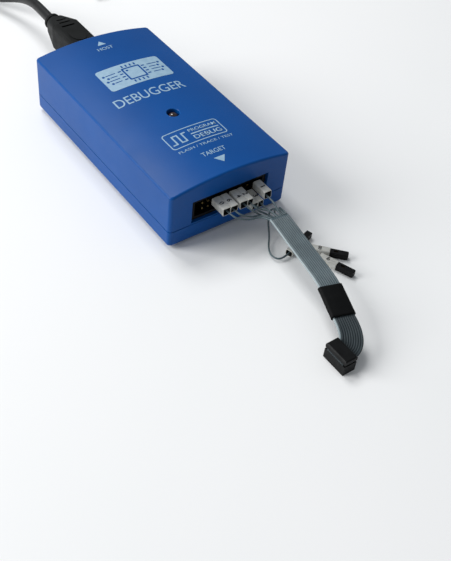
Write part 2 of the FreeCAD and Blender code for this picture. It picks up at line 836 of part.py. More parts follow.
def number_sleeve(index):
    """The white sleeve round the back of a socket whose tip is at the origin."""
    left, right, down, up = sleeve_reach(index)
    sleeve = rounded_bar(left + right, down + up, sleeve_corner, -jumper_length,
                         sleeve_length - jumper_length, (up - down) / 2, (right - left) / 2)
    return sleeve.cut(centred(jumper_width, -jumper_length - 1, 1, jumper_height, 0))


def jumper_places():
    """Tip point and pointing direction of each socket, the plugged ones first."""
    tip_y = shroud_floor - jumper_end_gap
    places = []
    for column, row, _ in plugged:
        x = (column - (pin_columns - 1) / 2) * pin_pitch
        places.append((V(x, tip_y, row_z[row]), V(0, 1, 0)))
    for x, y, dx, dy in free_sockets:
        places.append((V(x, y, free_half[1]), V(dx, dy, 0).normalize()))
    return places


def build_jumpers():
    body, contact = jumper()
    sleeves, contacts = [], []
    for i, (tip, way) in enumerate(jumper_places()):
        turn = math.degrees(math.atan2(-way.x, way.y))
        placed = []
        for shape in (body, number_sleeve(i), contact):
            piece = shape.copy()
            piece.rotate(V(0, 0, 0), UP, turn)
            piece.translate(tip)
            placed.append(piece)
        nodes["jumper_socket_%d" % i] = placed[0]
        sleeves.append(placed[1])
        contacts.append(placed[2])
    nodes["number_sleeves"] = group(sleeves)
    nodes["socket_contacts"] = group(contacts)


def ribbon_frame(index):
    """Centre, width direction and thickness direction of a ribbon station."""
    x, y, z, turn = ribbon_stations[index]
    here = V(x, y, z)
    before, after = index - 1, index + 1
    if index in (0, shrink_span[0], idc_span[0]):
        before = index
    if index in (shrink_span[1], len(ribbon_stations) - 1):
        after = index
    way = V(*ribbon_stations[after][:3]) - V(*ribbon_stations[before][:3])
    across = V(math.cos(math.radians(turn)), math.sin(math.radians(turn)), 0)
    across = across - way * (across.dot(way) / way.dot(way))
    across.normalize()
    through = way.cross(across).normalize()
    return here, across, through


def ribbon_outline(index, width, thickness):
    here, across, through = ribbon_frame(index)
    a = across * (width / 2)
    t = through * (thickness / 2)
    return Part.makePolygon([here - a - t, here + a - t, here + a + t, here - a + t, here - a - t])


def build_ribbon():
    stations = range(len(ribbon_stations))
    outlines = [ribbon_outline(i, ribbon_width, ribbon_thickness) for i in stations]
    ribbon = Part.makeLoft(outlines, True, True)
    nodes["ribbon_cable"] = ribbon
    points = [V(*s[:3]) for s in ribbon_stations]
    print("ribbon length", round(sum((b - a).Length for a, b in zip(points, points[1:])), 1),
          "volume", round(ribbon.Volume, 1), "valid", ribbon.isValid())

    i, j = shrink_span
    outer = ribbon_outline(i, ribbon_width + 2 * shrink_wall, ribbon_thickness + 2 * shrink_wall)
    inner = ribbon_outline(i, ribbon_width, ribbon_thickness)
    span = points[j] - points[i]
    nodes["heat_shrink"] = Part.Face(outer).extrude(span).cut(Part.Face(inner).extrude(span))


def build_wires():
    start, across, _ = ribbon_frame(0)
    depth = contact_start + contact_length
    for i, (tip, way) in enumerate(jumper_places()):
        inside = tip - way * depth
        end = start + across * ((i - (ribbon_ways - 1) / 2) * ribbon_pitch)
        outside = tip - way * (jumper_length + wire_stub)
        if i < len(plugged):
            points = [inside, outside] + [V(*p) for p in wire_ways[i]] + [end]
        else:
            ways = [V(*p) for p in free_wire_ways[i - len(plugged)]]
            points = [end] + ways + [outside, inside]
        label = "lead_wire_%d" % i
        wire = cord([tuple(p) for p in points], wire_diameter, label)
        nodes[label] = wire.cut(nodes["ribbon_cable"]).cut(nodes["socket_contacts"])


def build_small_plug():
    x0 = ribbon_stations[idc_span[1]][0]
    x1 = x0 + idc_width
    y = ribbon_stations[idc_span[0]][1]
    z = ribbon_stations[idc_span[0]][2]
    low = z - ribbon_thickness / 2
    high = z + ribbon_thickness / 2
    y0, y1 = y - idc_length / 2, y + idc_length / 2
    body = box(x0, x1, y0, y1, 0, low)
    contacts = []
    for column in range(idc_columns):
        for sx in (-0.5, 0.5):
            cx = (x0 + x1) / 2 + sx * idc_pitch
            cy = y + (column - (idc_columns - 1) / 2) * idc_pitch
            half = idc_hole / 2
            body = body.cut(box(cx - half, cx + half, cy - half, cy + half, -1, low))
            half = idc_contact / 2
            contacts.append(box(cx - half, cx + half, cy - half, cy + half,
                                low - idc_contact_length, low))
    key_depth, key_width = idc_key
    key = box(x1 - key_depth, x1, y - key_width / 2, y + key_width / 2, 0, low - idc_key_drop)
    nodes["idc_plug_body"] = body.cut(key)
    nodes["idc_contacts"] = group(contacts)
    cover = box(x0, x1, y0, y1, high, high + idc_cover_height)
    top = edges_where(cover, lambda e: e.BoundBox.ZMin > high + idc_cover_height - 1e-6)
    nodes["idc_plug_cover"] = cover.makeChamfer(idc_chamfer, top)


build_covers()
build_fasteners()
build_board()
build_usb_socket()
build_light()
build_electronics()
build_usb_plug()
build_host_plug()
build_cable()
build_jumpers()
build_ribbon()
build_wires()
build_small_plug()

os.makedirs("parts", exist_ok=True)
for name, shape in nodes.items():
    if not shape.isValid() or shape.Volume <= 0:
        print("check", name, shape.isValid(), shape.Volume)
    shape.exportStep("parts/%s.step" % name)
print(len(nodes), "nodes")
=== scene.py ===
"""Looks of a USB microcontroller programmer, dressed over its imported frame.

The case, the board and the connectors are the frame's own nodes with a finish each.
The lead, the ribbon, the wires, the sleeves, the prints and the tie are modelled here.
Sizes are in millimetres and reach the scene through MM.
"""
from __future__ import annotations

import logging
import math
import random
from collections.abc import Callable, Iterable, Sequence
from dataclasses import dataclass, field
from enum import Enum
from typing import Any

import bmesh
import bpy
from mathutils import Matrix, Vector


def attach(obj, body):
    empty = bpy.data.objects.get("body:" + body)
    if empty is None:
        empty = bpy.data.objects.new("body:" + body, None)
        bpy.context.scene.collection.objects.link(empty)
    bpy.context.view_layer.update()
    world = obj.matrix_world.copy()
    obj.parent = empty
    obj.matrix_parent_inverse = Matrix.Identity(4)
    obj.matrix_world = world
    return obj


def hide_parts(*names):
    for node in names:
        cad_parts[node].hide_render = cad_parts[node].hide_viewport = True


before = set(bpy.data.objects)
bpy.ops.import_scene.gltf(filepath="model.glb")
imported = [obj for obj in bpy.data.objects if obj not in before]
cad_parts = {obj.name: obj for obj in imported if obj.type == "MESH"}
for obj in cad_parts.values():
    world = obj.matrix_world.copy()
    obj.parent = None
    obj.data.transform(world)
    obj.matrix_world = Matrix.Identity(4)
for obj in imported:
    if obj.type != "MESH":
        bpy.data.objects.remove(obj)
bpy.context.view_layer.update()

MM = 0.001
PER_METRE = 1000
NOISE_SPAN = (0.3, 0.7)
LINE_STEPS = 10
LOG = logging.getLogger("programmer")
Point = tuple[float, float, float]
Spot = tuple[float, float]
Tree = bpy.types.NodeTree
Socket = bpy.types.NodeSocket
Mesh = bpy.types.Mesh
Piece = bpy.types.Object


def linear(code: str) -> tuple[float, float, float, float]:
    """Turns an sRGB hex colour into linear light.

    Args:
        code: A colour such as "#1b5aa6".

    Returns:
        Red, green, blue and alpha, each from 0 to 1.
    """
    parts = [int(code[i:i + 2], 16) / 255 for i in (1, 3, 5)]
    light = [c / 12.92 if c <= 0.04045 else ((c + 0.055) / 1.055) ** 2.4 for c in parts]
    return (light[0], light[1], light[2], 1.0)


def add_node(tree: Tree, kind: str, settings: dict[Any, Any] | None = None,
             links: dict[Any, Socket] | None = None) -> bpy.types.Node:
    """Adds a node with its settings and links.

    Args:
        tree: The material's node tree.
        kind: The node's type.
        settings: Values by property name, or by socket name or number.
        links: Sockets that feed its inputs, by input name or number.

    Returns:
        The new node.
    """
    node = tree.nodes.new(kind)
    for key, value in (settings or {}).items():
        if isinstance(key, str) and hasattr(node, key):
            setattr(node, key, value)
        else:
            node.inputs[key].default_value = value
    for key, source in (links or {}).items():
        tree.links.new(source, node.inputs[key])
    return node


def noise(tree: Tree, place: Socket, scale: float, detail: float,
          roughness: float = 0.5) -> Socket:
    """Draws soft random values.

    Args:
        tree: The material's node tree.
        place: The point on the object, in metres.
        scale: How many of them fit in a metre.
        detail: How many finer layers lie over them.
        roughness: How strong the finer layers are.

    Returns:
        The values, from 0 to 1.
    """
    return add_node(tree, "ShaderNodeTexNoise",
                    {"Scale": scale, "Detail": detail, "Roughness": roughness},
                    {"Vector": place}).outputs["Fac"]


def spread(tree: Tree, value: Socket, source: Spot, result: Spot = (0.0, 1.0)) -> Socket:
    """Spreads one range of values over another.

    Args:
        tree: The material's node tree.
        value: The values.
        source: Their range.
        result: The new range.

    Returns:
        The new values.
    """
    ends = {"From Min": source[0], "From Max": source[1], "To Min": result[0],
            "To Max": result[1]}
    return add_node(tree, "ShaderNodeMapRange", ends, {"Value": value}).outputs["Result"]


def paint(tree: Tree, colour: Socket, code: str, amount: Socket) -> Socket:
    """Lays an even colour over a drawn one.

    Args:
        tree: The material's node tree.
        colour: The drawn colour.
        code: The even colour, as sRGB hex.
        amount: How much of it shows.

    Returns:
        The mixed colour.
    """
    return add_node(tree, "ShaderNodeMix", {"data_type": "RGBA", 7: linear(code)},
                    {0: amount, 6: colour}).outputs[2]


class Part(Enum):
    """The bodies that pieces ride on."""

    HOUSING = "housing"
    HOST = "usb_lead"
    TARGET = "target_lead"


# --- finishes ---
@dataclass(frozen=True)
class Finish:
    """A surface: two close colours, its gloss, a fine relief and a slow variation.

    Attributes:
        name: The material's name.
        colour: Main colour as sRGB hex.
        shade: Colour of the slow variation, as sRGB hex.
        roughness: Middle roughness.
        uneven: How far the roughness strays either way.
        grain: Spacing of the fine relief in millimetres.
        relief: Height of the fine relief in millimetres.
        mottle: Size of the slow variation in millimetres.
        extras: Values set on the shader's own sockets.
    """

    name: str
    colour: str
    shade: str
    roughness: float
    uneven: float = 0.05
    grain: float = 0.3
    relief: float = 0.01
    mottle: float = 12.0
    extras: dict[str, Any] = field(default_factory=dict)

    def material(self) -> bpy.types.Material:
        """Makes the material, or gives it again if it is there.

        Returns:
            The material.
        """
        made = bpy.data.materials.get(self.name)
        if made:
            return made
        made = bpy.data.materials.new(self.name)
        made.use_nodes = True
        tree = made.node_tree
        tree.nodes.clear()
        place = add_node(tree, "ShaderNodeTexCoord").outputs["Object"]
        shader = add_node(tree, "ShaderNodeBsdfPrincipled", self.extras)
        self.draw(tree, shader, place)
        add_node(tree, "ShaderNodeOutputMaterial", links={"Surface": shader.outputs["BSDF"]})
        return made

    def draw(self, tree: Tree, shader: bpy.types.Node, place: Socket) -> None:
        """Draws colour, gloss and relief.

        Args:
            tree: The material's node tree.
            shader: Its shader.
            place: The point on the object, in metres.
        """
        tint = self.tint(tree, place, self.mottled(tree, place))
        tree.links.new(tint, shader.inputs["Base Color"])
        tree.links.new(self.gloss(tree, place), shader.inputs["Roughness"])
        relief = self.relief_height(tree, place)
        bump = add_node(tree, "ShaderNodeBump", {"Strength": 1.0, "Distance": self.relief * MM},
                        {"Height": relief})
        tree.links.new(bump.outputs["Normal"], shader.inputs["Normal"])

    def mottled(self, tree: Tree, place: Socket) -> Socket:
        """Mixes the two colours in soft patches.

        Args:
            tree: The material's node tree.
            place: The point on the object, in metres.

        Returns:
            The mixed colour.
        """
        cloud = spread(tree, noise(tree, place, PER_METRE / self.mottle, 3.0), NOISE_SPAN)
        mix = add_node(tree, "ShaderNodeMix",
                       {"data_type": "RGBA", 6: linear(self.colour), 7: linear(self.shade)},
                       {0: cloud})
        return mix.outputs[2]

    def tint(self, tree: Tree, place: Socket, colour: Socket) -> Socket:
        """Leaves the colour as it is; some finishes draw over it."""
        return colour

    def gloss(self, tree: Tree, place: Socket) -> Socket:
        """Varies the roughness as handling does.

        Args:
            tree: The material's node tree.
            place: The point on the object, in metres.

        Returns:
            The roughness.
        """
        rub = noise(tree, place, 2.6 * PER_METRE / self.mottle, 5.0, 0.65)
        least, most = self.roughness - self.uneven, self.roughness + self.uneven
        return spread(tree, rub, NOISE_SPAN, (max(0.04, least), min(1.0, most)))

    def relief_height(self, tree: Tree, place: Socket) -> Socket:
        """A fine random grain.

        Args:
            tree: The material's node tree.
            place: The point on the object, in metres.

        Returns:
            The height, from 0 to 1.
        """
        return noise(tree, place, PER_METRE / self.grain, 2.0)


@dataclass(frozen=True)
class SparkTexturedAbs(Finish):
    """ABS moulded in a spark eroded mould, with paler rubbed edges.

    Attributes:
        worn: Colour of rubbed edges, as sRGB hex.
        edge: Width of a rubbed edge in millimetres.
        wear: How much of that colour shows at most.
    """

    worn: str = "#3f7fc4"
    edge: float = 0.5
    wear: float = 0.22

    def tint(self, tree: Tree, place: Socket, colour: Socket) -> Socket:
        """Rubs the edges paler, where a rounded normal leaves the true one."""
        true_side = add_node(tree, "ShaderNodeNewGeometry").outputs["True Normal"]
        round_side = add_node(tree, "ShaderNodeBevel", {"samples": 4, "Radius": self.edge * MM})
        agree = add_node(tree, "ShaderNodeVectorMath", {"operation": "DOT_PRODUCT"},
                         {0: round_side.outputs["Normal"], 1: true_side})
        worn = spread(tree, agree.outputs["Value"], (0.995, 0.9), (0.0, self.wear))
        amount = add_node(tree, "ShaderNodeMath", {"operation": "MULTIPLY"},
                          {0: worn, 1: noise(tree, place, 450.0, 4.0)})
        return paint(tree, colour, self.worn, amount.outputs["Value"])

    def relief_height(self, tree: Tree, place: Socket) -> Socket:
        """Packed shallow craters, as spark erosion leaves, over a finer grain."""
        craters = add_node(tree, "ShaderNodeTexVoronoi",
                           {"feature": "SMOOTH_F1", "Scale": PER_METRE / self.grain,
                            "Smoothness": 0.6}, {"Vector": place})
        grain = noise(tree, place, 2.2 * PER_METRE / self.grain, 2.0)
        both = add_node(tree, "ShaderNodeMath", {"operation": "MULTIPLY_ADD", 1: 0.5},
                        {0: grain, 2: craters.outputs["Distance"]})
        return both.outputs["Value"]


@dataclass(frozen=True)
class LinedSurface(Finish):
    """Drawn, rolled, turned or fibrous material: fine lines one way in its relief.

    Attributes:
        along: Stretch of the lines on X, Y and Z; the small one is their length.
    """

    along: Point = (1.0, 0.06, 1.0)

    def relief_height(self, tree: Tree, place: Socket) -> Socket:
        """Grain pulled out into lines."""
        pulled = add_node(tree, "ShaderNodeMapping", {"Scale": self.along}, {"Vector": place})
        return noise(tree, pulled.outputs["Vector"], PER_METRE / self.grain, 4.0)


@dataclass(frozen=True)
class BoardLaminate(Finish):
    """Glass laminate under solder mask, with copper tracks that show through it.

    Attributes:
        track: Colour over a copper track, as sRGB hex.
        pitch: Spacing of the tracks in millimetres.
        cell: Size of the square cells between tracks, in pitches.
    """

    track: str = "#1f6b45"
    pitch: float = 1.6
    cell: float = 2.5

    def tint(self, tree: Tree, place: Socket, colour: Socket) -> Socket:
        """Draws stepped tracks between square cells."""
        cells = add_node(tree, "ShaderNodeTexVoronoi",
                         {"distance": "MANHATTAN", "feature": "DISTANCE_TO_EDGE",
                          "Scale": PER_METRE / (self.pitch * self.cell)}, {"Vector": place})
        line = spread(tree, cells.outputs["Distance"], (0.08, 0.11), (1.0, 0.0))
        return paint(tree, colour, self.track, line)


@dataclass(frozen=True)
class StrapWeave(Finish):
    """Woven nylon strap: crossed threads in relief and shade."""

    def relief_height(self, tree: Tree, place: Socket) -> Socket:
        """Threads along X crossed by threads round the strap."""
        waves = [add_node(tree, "ShaderNodeTexWave",
                          {"bands_direction": way, "Scale": PER_METRE / self.grain / 20,
                           "Distortion": 1.2, "Detail": 1.0}, {"Vector": place})
                 for way in ("X", "DIAGONAL")]
        cross = add_node(tree, "ShaderNodeMath", {"operation": "MAXIMUM"},
                         {0: waves[0].outputs["Fac"], 1: waves[1].outputs["Fac"]})
        return cross.outputs["Value"]


# Housing ABS, injection moulded with a fine matt mould: an even soft sheen on a deep blue.
CASE_BLUE = SparkTexturedAbs("blue_abs_spark_textured", "#004b93", "#004589", 0.35, 0.04,
                             0.34, 0.010, 34.0, {"IOR": 1.53, "Specular IOR Level": 0.17})
# Zinc plated steel screw: bright, faintly yellow, turned lines round the head.
SCREW_ZINC = LinedSurface("steel_zinc_plated", "#c2c3bd", "#a9aaa2", 0.32, 0.08, 0.12, 0.004,
                        3.0, {"Metallic": 1.0}, (1.0, 1.0, 0.05))
# Silicone rubber foot, compression moulded: dull and dark, paler in patches.
FOOT_RUBBER = Finish("silicone_rubber_moulded", "#2a2b2c", "#343536", 0.78, 0.08, 0.25, 0.012,
                     4.0, {"IOR": 1.41})
# Polyester label film, matt laminated: pale silver with a smooth, slightly wavy face.
LABEL_FILM = Finish("polyester_film_matt_laminated", "#d8dadb", "#cdd0d2", 0.46, 0.06, 1.6,
                    0.006, 9.0, {"IOR": 1.57, "Coat Weight": 0.25, "Coat Roughness": 0.3})
# Epoxy glass laminate with solder mask, curtain coated: glossy green over raised tracks.
LAMINATE = BoardLaminate("epoxy_glass_solder_masked", "#14532f", "#114a2a", 0.28, 0.05, 0.5,
                         0.012, 8.0, {"IOR": 1.52, "Coat Weight": 0.4, "Coat Roughness": 0.12})
# Nickel plated steel, stamped: mid gloss with rolling lines.
SOCKET_STEEL = LinedSurface("steel_nickel_plated_stamped", "#b9b7b0", "#a5a39c", 0.27, 0.07,
                          0.12, 0.004, 5.0, {"Metallic": 1.0})
# PBT socket insert, injection moulded: off white and waxy.
SOCKET_PBT = Finish("pbt_white_moulded", "#d9d6cc", "#cfcbc0", 0.44, 0.05, 0.3, 0.008, 5.0,
                    {"IOR": 1.55, "Subsurface Weight": 0.08, "Subsurface Radius": (0.6, 0.5, 0.4),
                     "Subsurface Scale": 0.001})
# Gold plated phosphor bronze, stamped: warm, bright, with faint draw lines.
CONTACT_GOLD = LinedSurface("bronze_gold_plated", "#e0b862", "#c99d45", 0.24, 0.08, 0.1, 0.003,
                          2.0, {"Metallic": 1.0}, (1.0, 0.08, 1.0))
# Gold flashed brass pin, drawn: darker and duller than the contact gold, brownish, with faint
# draw lines.
PIN_BRASS = LinedSurface("brass_gold_flashed_dull", "#7d6a42", "#6a5936", 0.42, 0.08, 0.1, 0.003,
                       2.0, {"Metallic": 1.0}, (1.0, 0.08, 1.0))
# Glass filled PBT header, injection moulded: near black with a satin, slightly fibrous face.
HEADER_PBT = LinedSurface("pbt_glass_filled_black", "#07070a", "#0c0c0f", 0.46, 0.07, 0.22,
                        0.008, 4.0, {"IOR": 1.56, "Specular IOR Level": 0.08}, (0.25, 1.0, 1.0))
# Tinted epoxy lens, cast: smoky red that reads nearly black unlit, clear and glossy.
LENS_EPOXY = Finish("epoxy_red_tinted_cast", "#2c1613", "#1f0f0d", 0.14, 0.04, 0.6, 0.003, 2.0,
                    {"IOR": 1.54, "Coat Weight": 0.5, "Coat Roughness": 0.06})
# Tin plated copper lead, dipped: grey white and a little uneven.
LEAD_TIN = Finish("copper_tin_dipped", "#b8b9b8", "#9fa1a1", 0.34, 0.09, 0.2, 0.006, 1.5,
                  {"Metallic": 1.0})
# Silica filled epoxy chip body, transfer moulded: dark grey with a fine matt grain.
CHIP_EPOXY = Finish("epoxy_silica_filled", "#232426", "#2b2c2f", 0.56, 0.06, 0.12, 0.008, 4.0,
                    {"IOR": 1.6})
# Aluminium can, impact extruded: bright with lines round it.
CAN_ALUMINIUM = LinedSurface("aluminium_impact_extruded", "#c9cacb", "#b4b6b8", 0.26, 0.06,
                           0.14, 0.004, 4.0, {"Metallic": 1.0}, (1.0, 1.0, 0.05))
# PVC overmould, sprayed texture mould: black, soft and matt, greyer in soft patches.
PLUG_PVC = Finish("pvc_black_overmoulded", "#0c0e0e", "#141616", 0.52, 0.08, 0.22, 0.012, 7.0,
                  {"IOR": 1.5, "Specular IOR Level": 0.12})
# PVC cable jacket, extruded: black, smooth along its length, softly glossy.
CABLE_PVC = Finish("pvc_black_extruded", "#111213", "#18191a", 0.36, 0.06, 0.9, 0.012, 10.0,
                   {"IOR": 1.53, "Specular IOR Level": 0.3})
# Nylon strap, woven: dark grey threads 0.4 mm apart, drawn coarse enough to show.
STRAP_NYLON = StrapWeave("nylon_woven_strap", "#26282b", "#34373b", 0.72, 0.08, 0.4, 0.05, 2.5,
                         {"IOR": 1.53, "Sheen Weight": 0.3, "Sheen Roughness": 0.4})
# Jumper housing of nylon, injection moulded: black, satin, with a slight flow pattern.
JUMPER_NYLON = Finish("nylon_black_moulded", "#0a0b0c", "#111214", 0.42, 0.07, 0.2, 0.008, 2.5,
                      {"IOR": 1.53, "Specular IOR Level": 0.12})
# Marker sleeve of soft PVC, extruded and cut: off white, waxy, a little grubby.
SLEEVE_PVC = Finish("pvc_white_extruded", "#c9c9c4", "#b3b3ad", 0.42, 0.07, 0.35, 0.012, 1.8,
                    {"IOR": 1.53, "Subsurface Weight": 0.15,
                     "Subsurface Radius": (0.6, 0.55, 0.45), "Subsurface Scale": 0.0008})
# Ribbon cable of PVC, extruded flat: green grey, softly glossy on every round conductor.
RIBBON_PVC = Finish("pvc_grey_ribbon_extruded", "#536268", "#46545a", 0.40, 0.06, 0.5, 0.010,
                    6.0, {"IOR": 1.53, "Specular IOR Level": 0.3})
# First conductor of the ribbon, paler grey along its whole length.
RIBBON_EDGE = Finish("pvc_grey_pale_first_conductor", "#8d9a9e", "#818f94", 0.40, 0.05, 0.5, 0.008, 6.0,
                     {"IOR": 1.53})
# The same ribbon past the heat shrink, darker as painted shade where it turns away from the
# light.
RIBBON_PAINTED_SHADE = Finish("pvc_grey_ribbon_painted_shade", "#343d41", "#2b3337", 0.46, 0.06, 0.5,
                     0.008, 6.0, {"IOR": 1.53, "Specular IOR Level": 0.15})
# Polyolefin heat shrink, shrunk hot: black, satin, with fine creases along it.
SHRINK_POLYOLEFIN = LinedSurface("polyolefin_heat_shrunk", "#070809", "#0c0d0e", 0.5, 0.08, 0.7,
                               0.05, 3.0, {"IOR": 1.5, "Specular IOR Level": 0.08},
                               (1.0, 0.3, 1.0))
# Ribbon plug of glass filled PBT, injection moulded: black with a satin face.
IDC_PBT = Finish("pbt_black_plug_moulded", "#0a0b0c", "#111213", 0.44, 0.06, 0.22, 0.008, 3.0,
                 {"IOR": 1.56, "Specular IOR Level": 0.1})
# Screen printed epoxy ink: pale blue grey, matt, thinner in places.
PRINT_INK = Finish("ink_screen_printed_pale", "#95b3c8", "#86a6bd", 0.52, 0.06, 0.3, 0.006,
                   2.2, {"IOR": 1.5})
# Marker ink, foil printed: flat black on the sleeves.
DIGIT_INK = Finish("ink_foil_printed_black", "#131315", "#1d1d20", 0.5, 0.06, 0.3, 0.004, 1.2,
                   {"IOR": 1.5})
# Studio sweep of coated paper: plain, pale and matt.
SWEEP_PAPER = Finish("paper_coated_matt", "#f4f4f4", "#f1f2f2", 0.8, 0.04, 2.0, 0.01, 160.0)


# --- making and placing pieces ---
def to_metres(point: Sequence[float]) -> Vector:
    """Turns a point in millimetres into metres."""
    return Vector(point) * MM


def mesh_of(name: str, points: Iterable[Sequence[float]],
            faces: Iterable[Sequence[int]], smooth: bool = True) -> Mesh:
    """Makes a mesh.

    Args:
        name: The mesh's name.
        points: Its points, in metres.
        faces: Its faces, as numbers of points.
        smooth: Whether it is shaded smooth.

    Returns:
        The mesh, with its normals outward.
    """
    mesh = bpy.data.meshes.new(name)
    mesh.from_pydata([tuple(p) for p in points], [], [tuple(f) for f in faces])
    tidy = bmesh.new()
    tidy.from_mesh(mesh)
    bmesh.ops.recalc_face_normals(tidy, faces=tidy.faces)
    tidy.to_mesh(mesh)
    tidy.free()
    for face in mesh.polygons:
        face.use_smooth = smooth
    return mesh


def loft(name: str, rings: Sequence[Sequence[Vector]], closed: bool = False,
         smooth: bool = True) -> Mesh:
    """Joins rings of points into a skin.

    Args:
        name: The mesh's name.
        rings: Rings with the same number of points each.
        closed: Whether the last ring joins the first; if not, both ends get a cap.
        smooth: Whether it is shaded smooth.

    Returns:
        The mesh.
    """
    size = len(rings[0])
    points = [p for ring in rings for p in ring]
    faces: list[tuple[int, ...]] = []
    pairs = len(rings) if closed else len(rings) - 1
    for i in range(pairs):
        a, b = i * size, (i + 1) % len(rings) * size
        for j in range(size):
            k = (j + 1) % size
            faces.append((a + j, a + k, b + k, b + j))
    if not closed:
        faces.append(tuple(range(size)))
        faces.append(tuple(range((len(rings) - 1) * size, len(rings) * size)))
    return mesh_of(name, points, faces, smooth)


def rounded_ring(width: float, height: float, corner: float, steps: int) -> list[Spot]:
    """Points round a rectangle with rounded corners.

    Args:
        width: Its width in millimetres.
        height: Its height in millimetres.
        corner: Its corner radius in millimetres.
        steps: Runs in each corner.

    Returns:
        The points, in millimetres, about its middle.
    """
    ring = []
    for quarter, (sx, sy) in enumerate(((1, 1), (-1, 1), (-1, -1), (1, -1))):
        for step in range(steps + 1):
            turn = math.pi / 2 * (quarter + step / steps)
            ring.append((sx * (width / 2 - corner) + corner * math.cos(turn),
                         sy * (height / 2 - corner) + corner * math.sin(turn)))
    return ring


def nurbs_curve(name: str, points: Sequence[Sequence[float]], steps: int,
                bevel: float = 0.0) -> bpy.types.Curve:
    """Makes a smooth curve from control points.

    Args:
        name: The curve's name.
        points: Control points in millimetres.
        steps: Runs in each span.
        bevel: Radius of the tube about it, in millimetres.

    Returns:
        The curve.
    """
    curve = bpy.data.curves.new(name, "CURVE")
    curve.dimensions = "3D"
    spline = curve.splines.new("NURBS")
    spline.points.add(len(points) - 1)
    for spot, point in zip(spline.points, points):
        spot.co = (*to_metres(point), 1.0)
    spline.order_u = 3
    spline.use_endpoint_u = True
    curve.resolution_u = steps
    curve.bevel_depth = bevel * MM
    curve.bevel_resolution = 5
    curve.use_fill_caps = bevel > 0
    return curve


def smooth_line(points: Sequence[Sequence[float]]) -> list[Vector]:
    """Reads the points that a smooth curve passes.

    Args:
        points: Its control points in millimetres.

    Returns:
        Points along it, in metres.
    """
    curve = nurbs_curve("line", points, LINE_STEPS)
    holder = bpy.data.objects.new("line", curve)
    bpy.context.scene.collection.objects.link(holder)
    mesh = bpy.data.meshes.new_from_object(holder)
    line = [v.co.copy() for v in mesh.vertices]
    bpy.data.objects.remove(holder)
    bpy.data.meshes.remove(mesh)
    bpy.data.curves.remove(curve)
    return line


def run_length(line: Sequence[Vector]) -> float:
    """Adds up the steps along a line of points."""
    return sum((b - a).length for a, b in zip(line, line[1:]))


def flat_mesh(data: bpy.types.Curve) -> Mesh:
    """Fills a flat curve or a text.

    Args:
        data: The curve or text.

    Returns:
        Its filled mesh.
    """
    holder = bpy.data.objects.new("flat", data)
    bpy.context.scene.collection.objects.link(holder)
    mesh = bpy.data.meshes.new_from_object(holder)
    bpy.data.objects.remove(holder)
    bpy.data.curves.remove(data)
    return mesh


def filled(outlines: Sequence[Sequence[Spot]]) -> Mesh:
    """Fills outlines; one inside another is a hole.

    Args:
        outlines: Closed outlines in millimetres.

    Returns:
        The flat mesh.
    """
    curve = bpy.data.curves.new("outlines", "CURVE")
    curve.dimensions = "2D"
    curve.fill_mode = "BOTH"
    for outline in outlines:
        spline = curve.splines.new("POLY")
        spline.points.add(len(outline) - 1)
        for spot, (x, y) in zip(spline.points, outline):
            spot.co = (x * MM, y * MM, 0.0, 1.0)
        spline.use_cyclic_u = True
    return flat_mesh(curve)


def lettered(words: str, x: float, y: float, width: float, height: float,
             turn: float = 0.0, weight: float = 0.0) -> Mesh:
    """Sets plain capitals or digits into a given space.

    Args:
        words: What is set.
        x: Middle of the space, across.
        y: Middle of the space, along.
        width: Width of the words before they are turned.
        height: Height of the words before they are turned.
        turn: Turn in degrees.
        weight: How much the strokes swell, in millimetres.

    Returns:
        The flat mesh.
    """
    text = bpy.data.curves.new("words", "FONT")
    text.body = words
    text.size = 10 * MM
    text.offset = weight * MM
    mesh = flat_mesh(text)
    xs = [v.co.x for v in mesh.vertices]
    ys = [v.co.y for v in mesh.vertices]
    middle = Vector(((max(xs) + min(xs)) / 2, (max(ys) + min(ys)) / 2, 0))
    fit = Matrix.Diagonal((width * MM / (max(xs) - min(xs)),
                           height * MM / (max(ys) - min(ys)), 1, 1))
    move = Matrix.Translation(Vector((x * MM, y * MM, 0)))
    mesh.transform(move @ Matrix.Rotation(math.radians(turn), 4, "Z") @ fit
                   @ Matrix.Translation(-middle))
    return mesh


def print_film(name: str, flats: Sequence[Mesh], thickness: float,
               height: Callable[[float], float], strip: float = 0.0) -> Mesh:
    """Lays flat shapes on a surface as a thin closed film.

    Args:
        name: The mesh's name.
        flats: Flat shapes, used up by this.
        thickness: Film thickness in millimetres.
        height: Gives the surface's height in metres at an x in metres.
        strip: Width of the strips that follow a curved surface, in millimetres.

    Returns:
        The film.
    """
    weld = 0.002
    film = bmesh.new()
    for flat in flats:
        film.from_mesh(flat)
        bpy.data.meshes.remove(flat)
    bmesh.ops.remove_doubles(film, verts=film.verts, dist=weld * MM)
    if strip:
        reach = max(abs(v.co.x) for v in film.verts)
        count = int(reach / (strip * MM)) + 1
        for i in range(-count, count + 1):
            bmesh.ops.bisect_plane(film, geom=[*film.verts, *film.edges, *film.faces],
                                   plane_co=(i * strip * MM, 0, 0), plane_no=(1, 0, 0))
    raised = bmesh.ops.extrude_face_region(film, geom=film.faces[:], use_keep_orig=True)
    for vertex in raised["geom"]:
        if isinstance(vertex, bmesh.types.BMVert):
            vertex.co.z += thickness * MM
    for vertex in film.verts:
        vertex.co.z += height(vertex.co.x)
    bmesh.ops.recalc_face_normals(film, faces=film.faces)
    mesh = bpy.data.meshes.new(name)
    film.to_mesh(mesh)
    film.free()
    return mesh


def rectangle(x: float, y: float, width: float, height: float,
              corner: float = 0.0) -> list[Spot]:
    """An outline about x, y, with rounded corners if asked for."""
    if corner:
        return [(x + px, y + py) for px, py in rounded_ring(width, height, corner, 6)]
    w, h = width / 2, height / 2
    return [(x - w, y - h), (x + w, y - h), (x + w, y + h), (x - w, y + h)]


